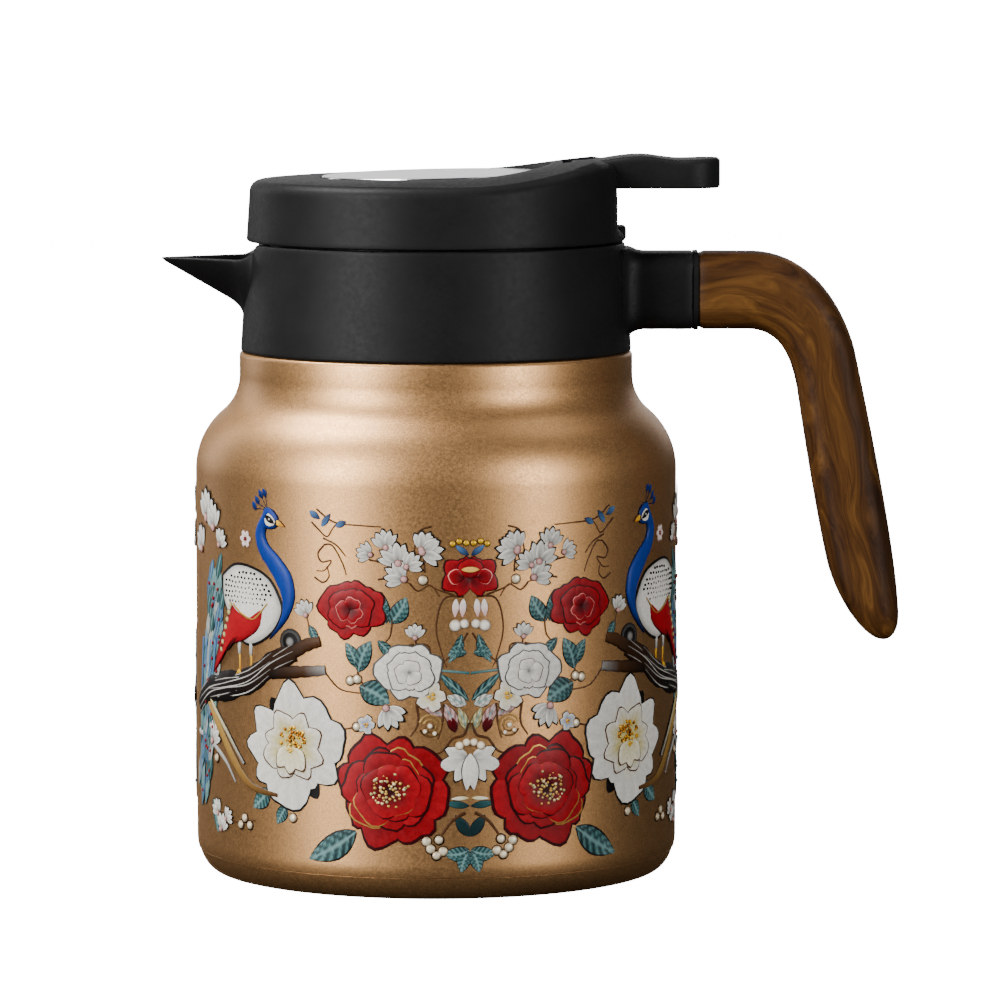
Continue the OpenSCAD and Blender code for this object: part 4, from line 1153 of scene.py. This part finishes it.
def centre_piece(white, teal, red, wood, rng):
    """What stands on the mirror line: crown, flower, pearls, wings and the folded leaf at the foot."""
    for x, y in ((0.9, 87.6), (2.6, 88.0), (4.2, 87.4)):
        dot(wood, (x, y), 0.85, YELLOW, BROWN, base=0.15, gold=0.5)
    blade(teal, (0.3, 84.6), (3.6, 87.0), 1.6, fade(NAVY, SKY), INK, rows=9)
    for angle in (28, 70, -14, -48):
        petal(red, (0, 79.2), angle, 7.4 if abs(angle) < 30 else 5.6, 30,
            [(0, DARK_RED), (0.5, DEEP_RED * 1.3), (1, RED * 1.2)], DARK_RED, notch=0.05, lift=0.35)
    petal(red, (0.2, 79), 90, 5.0, 44, fade(DEEP_RED, RED * 1.2), DARK_RED, base=0.3, lift=0.3)
    petal(red, (1.6, 79.2), 8, 3.8, 40, fade(DARK_RED, RED), tint("e58c80"), base=0.35, lift=0.3)
    blade(red, (-2.1, 81.2), (2.1, 81.2), 1.5, plain(GOLD), BROWN, base=0.7, gold=0.7, rows=9)
    for x in (1.6, 3.4):
        blade(white, (x, 74), (x + 0.3, 69.6), 1.9, fade(WHITE, BLUSH), BROWN, rows=9)
    for x, y, r in ((1.4, 68, 1.2), (3.6, 67.6, 1.5)):
        dot(white, (x, y), r, tint("efe8d8"), tint("7d6a58"), base=0.15, sides=12)
    twig(wood, [(1.6, 74.6), (6.4, 74), (8.2, 67), (6.6, 60), (5.6, 57.4)])
    twig(wood, [(4, 75), (8, 76.4), (11, 78)])
    twig(wood, [(0.6, 65.8), (3, 62), (6.4, 58.8), (8.6, 57.2)])
    leaf(teal, (0.9, 61), (5.4, 60.2), 3.2, 0.8)
    leaf(teal, (2.0, 65.4), (5.2, 58.6), 2.6, -0.6)
    stroke(teal, [(0.2, 56), (4, 56.4), (8.4, 56.8)], [0.7, 0.6], fade(TEAL, PALE_TEAL * 0.7), INK)
    blade(teal, (0.4, 49.4), (7.6, 56), 2.6, fade(DARK_TEAL, TEAL), INK, veins=4)
    for x0, y0, x1, y1, w, c in ((1, 48.4, 5.6, 50.4, 3.4, WHITE), (3.2, 43, 6.4, 48.6, 3.2, BLUSH),
            (0.5, 42, 2.8, 47.6, 2.6, CREAM), (6.6, 45.6, 12.5, 49.6, 3.0, BLUSH)):
        blade(white, (x0, y0), (x1, y1), w, fade(c * 0.7, c), BROWN, veins=3, rows=13)
    blade(red, (3.6, 41.6), (5.2, 46.6), 2.6, fade(DARK_RED, DEEP_RED), INK, rows=9)
    for r, w in ((2.6, 0.7), (1.5, 0.6)):
        ring = [(9.7 + r * math.cos(a), 43.2 + r * math.sin(a)) for a in np.linspace(0.3, 5.9, 9)]
        stroke(wood, ring, [w, w * 0.7], fade(tint("a8844c"), BROWN), INK, n=4, gold=0.4)
    for x, y, r in ((9.7, 43.2, 0.7), (8.6, 41.4, 0.6), (10.9, 41.9, 0.6), (0.9, 39.2, 1.0),
            (2.6, 38.4, 1.1)):
        dot(white, (x, y), r, tint("f2e6cc"), PEARL_EDGE, base=0.3, sides=12)
    twig(wood, [(0.4, 44), (1.6, 41), (4.4, 40), (6.6, 37.2), (9, 36.4), (12.5, 37.4)], 0.8, 0.4)
    twig(wood, [(13, 49), (12.6, 44), (14.5, 40.6)], 0.7, 0.4)
    twig(wood, [(6.4, 48.6), (6.8, 44), (7.8, 40)], 0.7, 0.4)
    for angle, r in ((-62, 6.6), (-20, 7.4), (18, 6.0)):
        petal(white, (0.4, 35.6), angle, r, 24, [(0, GREY), (0.5, WHITE * 0.8), (1, WHITE)], INK,
            point=0.05, lift=0.3)
    blade(white, (0, 36.4), (0.9, 27.6), 3.6, fade(WHITE, WHITE * 0.8), INK, base=0.3)
    blade(teal, (0.2, 23.6), (6.4, 24.4), 1.9, fade(DARK_TEAL, TEAL), INK)
    blade(white, (0.4, 25.6), (4.6, 25.4), 1.1, fade(CREAM, WHITE), BROWN, rows=9)
    blade(teal, (0.1, 16.2), (3.6, 21.4), 3.0, fade(DARK_TEAL, DARK_TEAL * 1.6), INK)
    twig(wood, [(1.2, 22), (4.4, 20), (7, 16.6), (8.6, 14.4)], 0.9, 0.5)
    leaf(teal, (0.2, 12.8), (6.4, 12.0), 3.8, -0.6)
    leaf(teal, (0.3, 12.6), (2.2, 7.4), 3.6, 0.4)
    berries(wood, ((7.6, 15.4), (9.6, 13.2), (8.2, 11.6), (6.6, 12.6), (10.6, 15.0)), 1.25, rng)


def make_print():
    rng = random.Random(7)
    red, white, teal = Print("print_red_flowers"), Print("print_white_flowers"), Print("print_leaves")
    wood, body, tail = Print("print_boughs"), Print("print_birds"), Print("print_tail_feathers")
    boughs(wood)
    bird(body, tail, rng)
    lotus(white, (-45.4, 37), 15.2, rng)
    peony(red, (-19.4, 27.4), 15.6, -10, rng)
    reds = [(0, DARK_RED), (0.5, DEEP_RED * 1.2), (1, RED * 1.2)]
    rose(red, (-29.2, 70.6), 9.3, rng, reds, DARK_RED, tint("c9756b"))
    centre_piece(white, teal, red, wood, rng)
    rose(white, (-14.6, 55.6), 9.0, rng, [(0, GREY * 0.8), (0.4, WHITE * 0.85), (1, WHITE)], GREY * 0.3,
        BROWN)
    rosette(white, (-9.4, 50.4), 4.2, 5, fade(CREAM, WHITE), BROWN, rng)
    rosette(white, (-61.4, 86.5), 2.3, 6, fade(BLUSH, WHITE), BLUSH * 0.6, rng, heart=(RED, DARK_RED))
    rosette(white, (-25.4, 43.2), 2.6, 5, fade(SKY, WHITE), INK, rng)
    for at, angle, r in (((-20.4, 86.4), 100, 4.6), ((-17.4, 82.6), 120, 5.6), ((-11.8, 86), 62, 4.8),
            ((-11.6, 85.4), 8, 5.4), ((-24.2, 84.6), 160, 3.8), ((-16, 78.8), 150, 5.2),
            ((-15.4, 81.8), 40, 4.4), ((-41.4, 69.2), 110, 4.0), ((-13.3, 64.6), 90, 3.6),
            ((-73, 13.6), 70, 4.4), ((-70.4, 16.4), 40, 3.6), ((-74.5, 17.4), 130, 4.0),
            ((-77, 88), 100, 6.5), ((-73.5, 84), 60, 4.6), ((-82, 90), 95, 7.5), ((-86, 82), 120, 6.5),
            ((-78, 35), 60, 5.5), ((-20.4, 47.4), -60, 5.6)):
        magnolia(white, at, angle, r)
    for start, end, width, bend in (((-20.4, 68), (-21.6, 75.6), 4.2, 0.5),
            ((-19.4, 68), (-15.4, 74.4), 4.6, -0.5), ((-27.4, 56), (-24.2, 63.6), 4.6, 0.5),
            ((-27.6, 57), (-30.6, 63), 3.4, -0.3), ((-27, 52.6), (-19.6, 48.6), 6.4, 0.4),
            ((-28, 17), (-40.6, 9.6), 6.6, 0.6), ((-53, 25.6), (-58.6, 20.6), 5.0, 0.3),
            ((-47.5, 22), (-50.4, 17.4), 3.6, 0), ((-78, 20.6), (-75, 12.4), 3.6, 0.4),
            ((-22.4, 63.8), (-18.4, 58.8), 2.8, 0.3), ((-40.6, 66.8), (-38.2, 62), 2.4, 0.2),
            ((-33, 36), (-37, 31), 3.4, 0.2)):
        leaf(teal, start, end, width, bend)
    for points in (((-38.4, 95.2), (-33.6, 92.2), (-27, 91.6), (-21.6, 91.4)),
            ((-39.8, 92), (-38, 90.4), (-35.6, 88.6), (-34, 90.6), (-32.8, 92)),
            ((-36.6, 88.2), (-33, 86.6), (-30.6, 84)), ((-36.4, 86.6), (-34, 86.4), (-31.4, 82.2),
            (-30.4, 79.4)), ((-36.4, 86.4), (-38, 84.4), (-37, 82.4), (-34.4, 82.8), (-36.2, 80.4),
            (-38.4, 80.2)), ((-39, 78.6), (-36.6, 77.4), (-35, 79), (-35.6, 81.4)),
            ((-9.4, 91.6), (-12.4, 90.4), (-13.4, 86.4), (-14.4, 81.6)),
            ((-24.6, 83.4), (-21.4, 82.6), (-17.6, 80.6)), ((-22.4, 78.6), (-18.6, 79), (-14.6, 77.8)),
            ((-14.6, 77.8), (-12.6, 76), (-9.6, 77.4), (-7.4, 74.6)),
            ((-11, 80.4), (-11.4, 84.4), (-13.6, 84.8)), ((-18.8, 71), (-19.4, 65), (-22, 62.4)),
            ((-13.3, 65), (-13.2, 61.6), (-15, 58.6)), ((-13.3, 63), (-10, 62.6), (-9.6, 58.4)),
            ((-13.6, 63), (-18, 62), (-20.4, 60)), ((-38.4, 62), (-40.4, 66), (-41.2, 69)),
            ((-36, 55.4), (-32, 51.6), (-25.6, 50.8)), ((-27.6, 56), (-26.4, 53.4), (-25, 51.4)),
            ((-27.8, 42.6), (-31, 42), (-34, 43)), ((-71, 16), (-64, 16.4), (-58, 17.4))):
        twig(wood, points, 0.5, 0.3)
    for start, end in (((-40.4, 94.6), (-37.4, 92.8)), ((-37, 91), (-34.6, 94.2)),
            ((-33.2, 91.2), (-30.4, 92.4))):
        blade(teal, start, end, 1.7, fade(SKY, NAVY), INK, rows=9)
    berries(wood, ((-27.8, 42.6), (-45.4, 19.2), (-11.4, 78.6), (-29.4, 53.8), (-27.6, 54.2),
        (-62, 17.6), (-60, 16), (-63.6, 15.8), (-75.4, 31)), 1.2, rng)
    for sheet in (red, white, teal, wood, body, tail):
        sheet.build()


# ---- carried-over CAD nodes


def dress_frame():
    """Materials and fine edges for the CAD nodes that show as they are."""
    finishes = {STEEL: ("inner_liner", "evacuation_seal", "getter", "handle_core", "grip_screws",
        "lid_screws", "lever_pin", "valve_stem"), INNER_BLACK: ("neck_ring", "stopper_body",
        "stopper_deck", "valve_disc", "stem_cap"), BLACK: ("ferrule", "screw_plugs"),
        SILICONE: ("mouth_gasket", "stopper_gasket", "stem_seal", "valve_gasket"),}
    for material, names in finishes.items():
        for name in names:
            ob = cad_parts[name]
            ob.data.materials.clear()
            ob.data.materials.append(material)
            ob.data.shade_smooth()
            ob.data.set_sharp_from_angle(angle=math.radians(32))


# ---- studio


def make_stage():
    """White floor and backdrop, a dark card that shades the pot's foot, and six soft lights."""
    def sheet(name, corners, glow, shade=0.9):
        paper = Nodes(name)
        paper.colour(paper.ramp(paper.noise(3.0), [(0.3, (shade * 0.97,) * 3), (0.7, (shade,) * 3)]))
        paper.set(Roughness=0.9, Emission_Color=(1, 1, 1, 1), Emission_Strength=glow)
        mesh = bpy.data.meshes.new(name)
        mesh.from_pydata(corners, [], [(0, 1, 2, 3)])
        mesh.materials.append(paper.material)
        ob = add_object(name, mesh)
        ob.visible_glossy = ob.visible_diffuse = False
        return ob

    far, glow = 8.0, 16.0
    sheet("floor", [(-far, -far, 0), (far, -far, 0), (far, far, 0), (-far, far, 0)], glow)
    sheet("backdrop", [(-far, 3, -1), (far, 3, -1), (far, 3, far), (-far, 3, far)], glow)
    half, low = 0.9, -0.001
    card = sheet("floor_card", [(-half, -half, low), (half, -half, low), (half, half, low),
        (-half, half, low)], 0.0, 0.02)
    card.visible_glossy = card.visible_diffuse = True
    card.visible_camera = False

    def soft_light(name, place, aim, width, height, power):
        data = bpy.data.lights.new(name, "AREA")
        data.shape, data.size, data.size_y, data.energy = "RECTANGLE", width, height, power
        light = add_object(name, data)
        light.location = place
        light.rotation_euler = (Vector(aim) - Vector(place)).to_track_quat("-Z", "Y").to_euler()
        light.visible_camera = False

    soft_light("key", (-1.27, -1.14, 0.60), (0, 0, 0.10), 0.62, 1.2, 58)
    soft_light("fill", (1.28, -1.12, 0.42), (0, 0, 0.08), 0.42, 1.0, 25)
    soft_light("rim", (-1.2, 1.1, 0.5), (0, 0, 0.10), 0.22, 1.0, 3.5)
    soft_light("top", (-0.74, 0.12, 1.45), (0, 0, 0.14), 0.75, 0.55, 45)
    soft_light("top_right", (0.70, 0.20, 1.40), (0, 0, 0.12), 0.6, 0.5, 2.5)
    soft_light("back", (0.25, 2.6, 0.64), (0, 0, 0.17), 2.2, 0.9, 8)

    world = bpy.data.worlds.new("studio")
    world.use_nodes = True
    bpy.context.scene.world = world
    world.node_tree.nodes["Background"].inputs["Color"].default_value = (0.95, 0.96, 1.0, 1)
    world.node_tree.nodes["Background"].inputs["Strength"].default_value = 0.07


def make_camera():
    """Camera a little to the handle's side, looking slightly down, as in the photograph."""
    data = bpy.data.cameras.new("camera")
    data.sensor_width, data.lens = 36.0, 231.1
    look_down = math.radians(5.4555)
    camera = add_object("camera", data)
    camera.location = (0.0161, -1.6, 0.245)
    camera.rotation_euler = (math.pi / 2 - look_down, 0, 0)
    bpy.context.scene.camera = camera


make_camera()
make_stage()
make_shell()
make_base()
make_collar()
make_grip()
make_lid_cover()
make_plate()
make_lever()
make_spring()
make_print()
dress_frame()
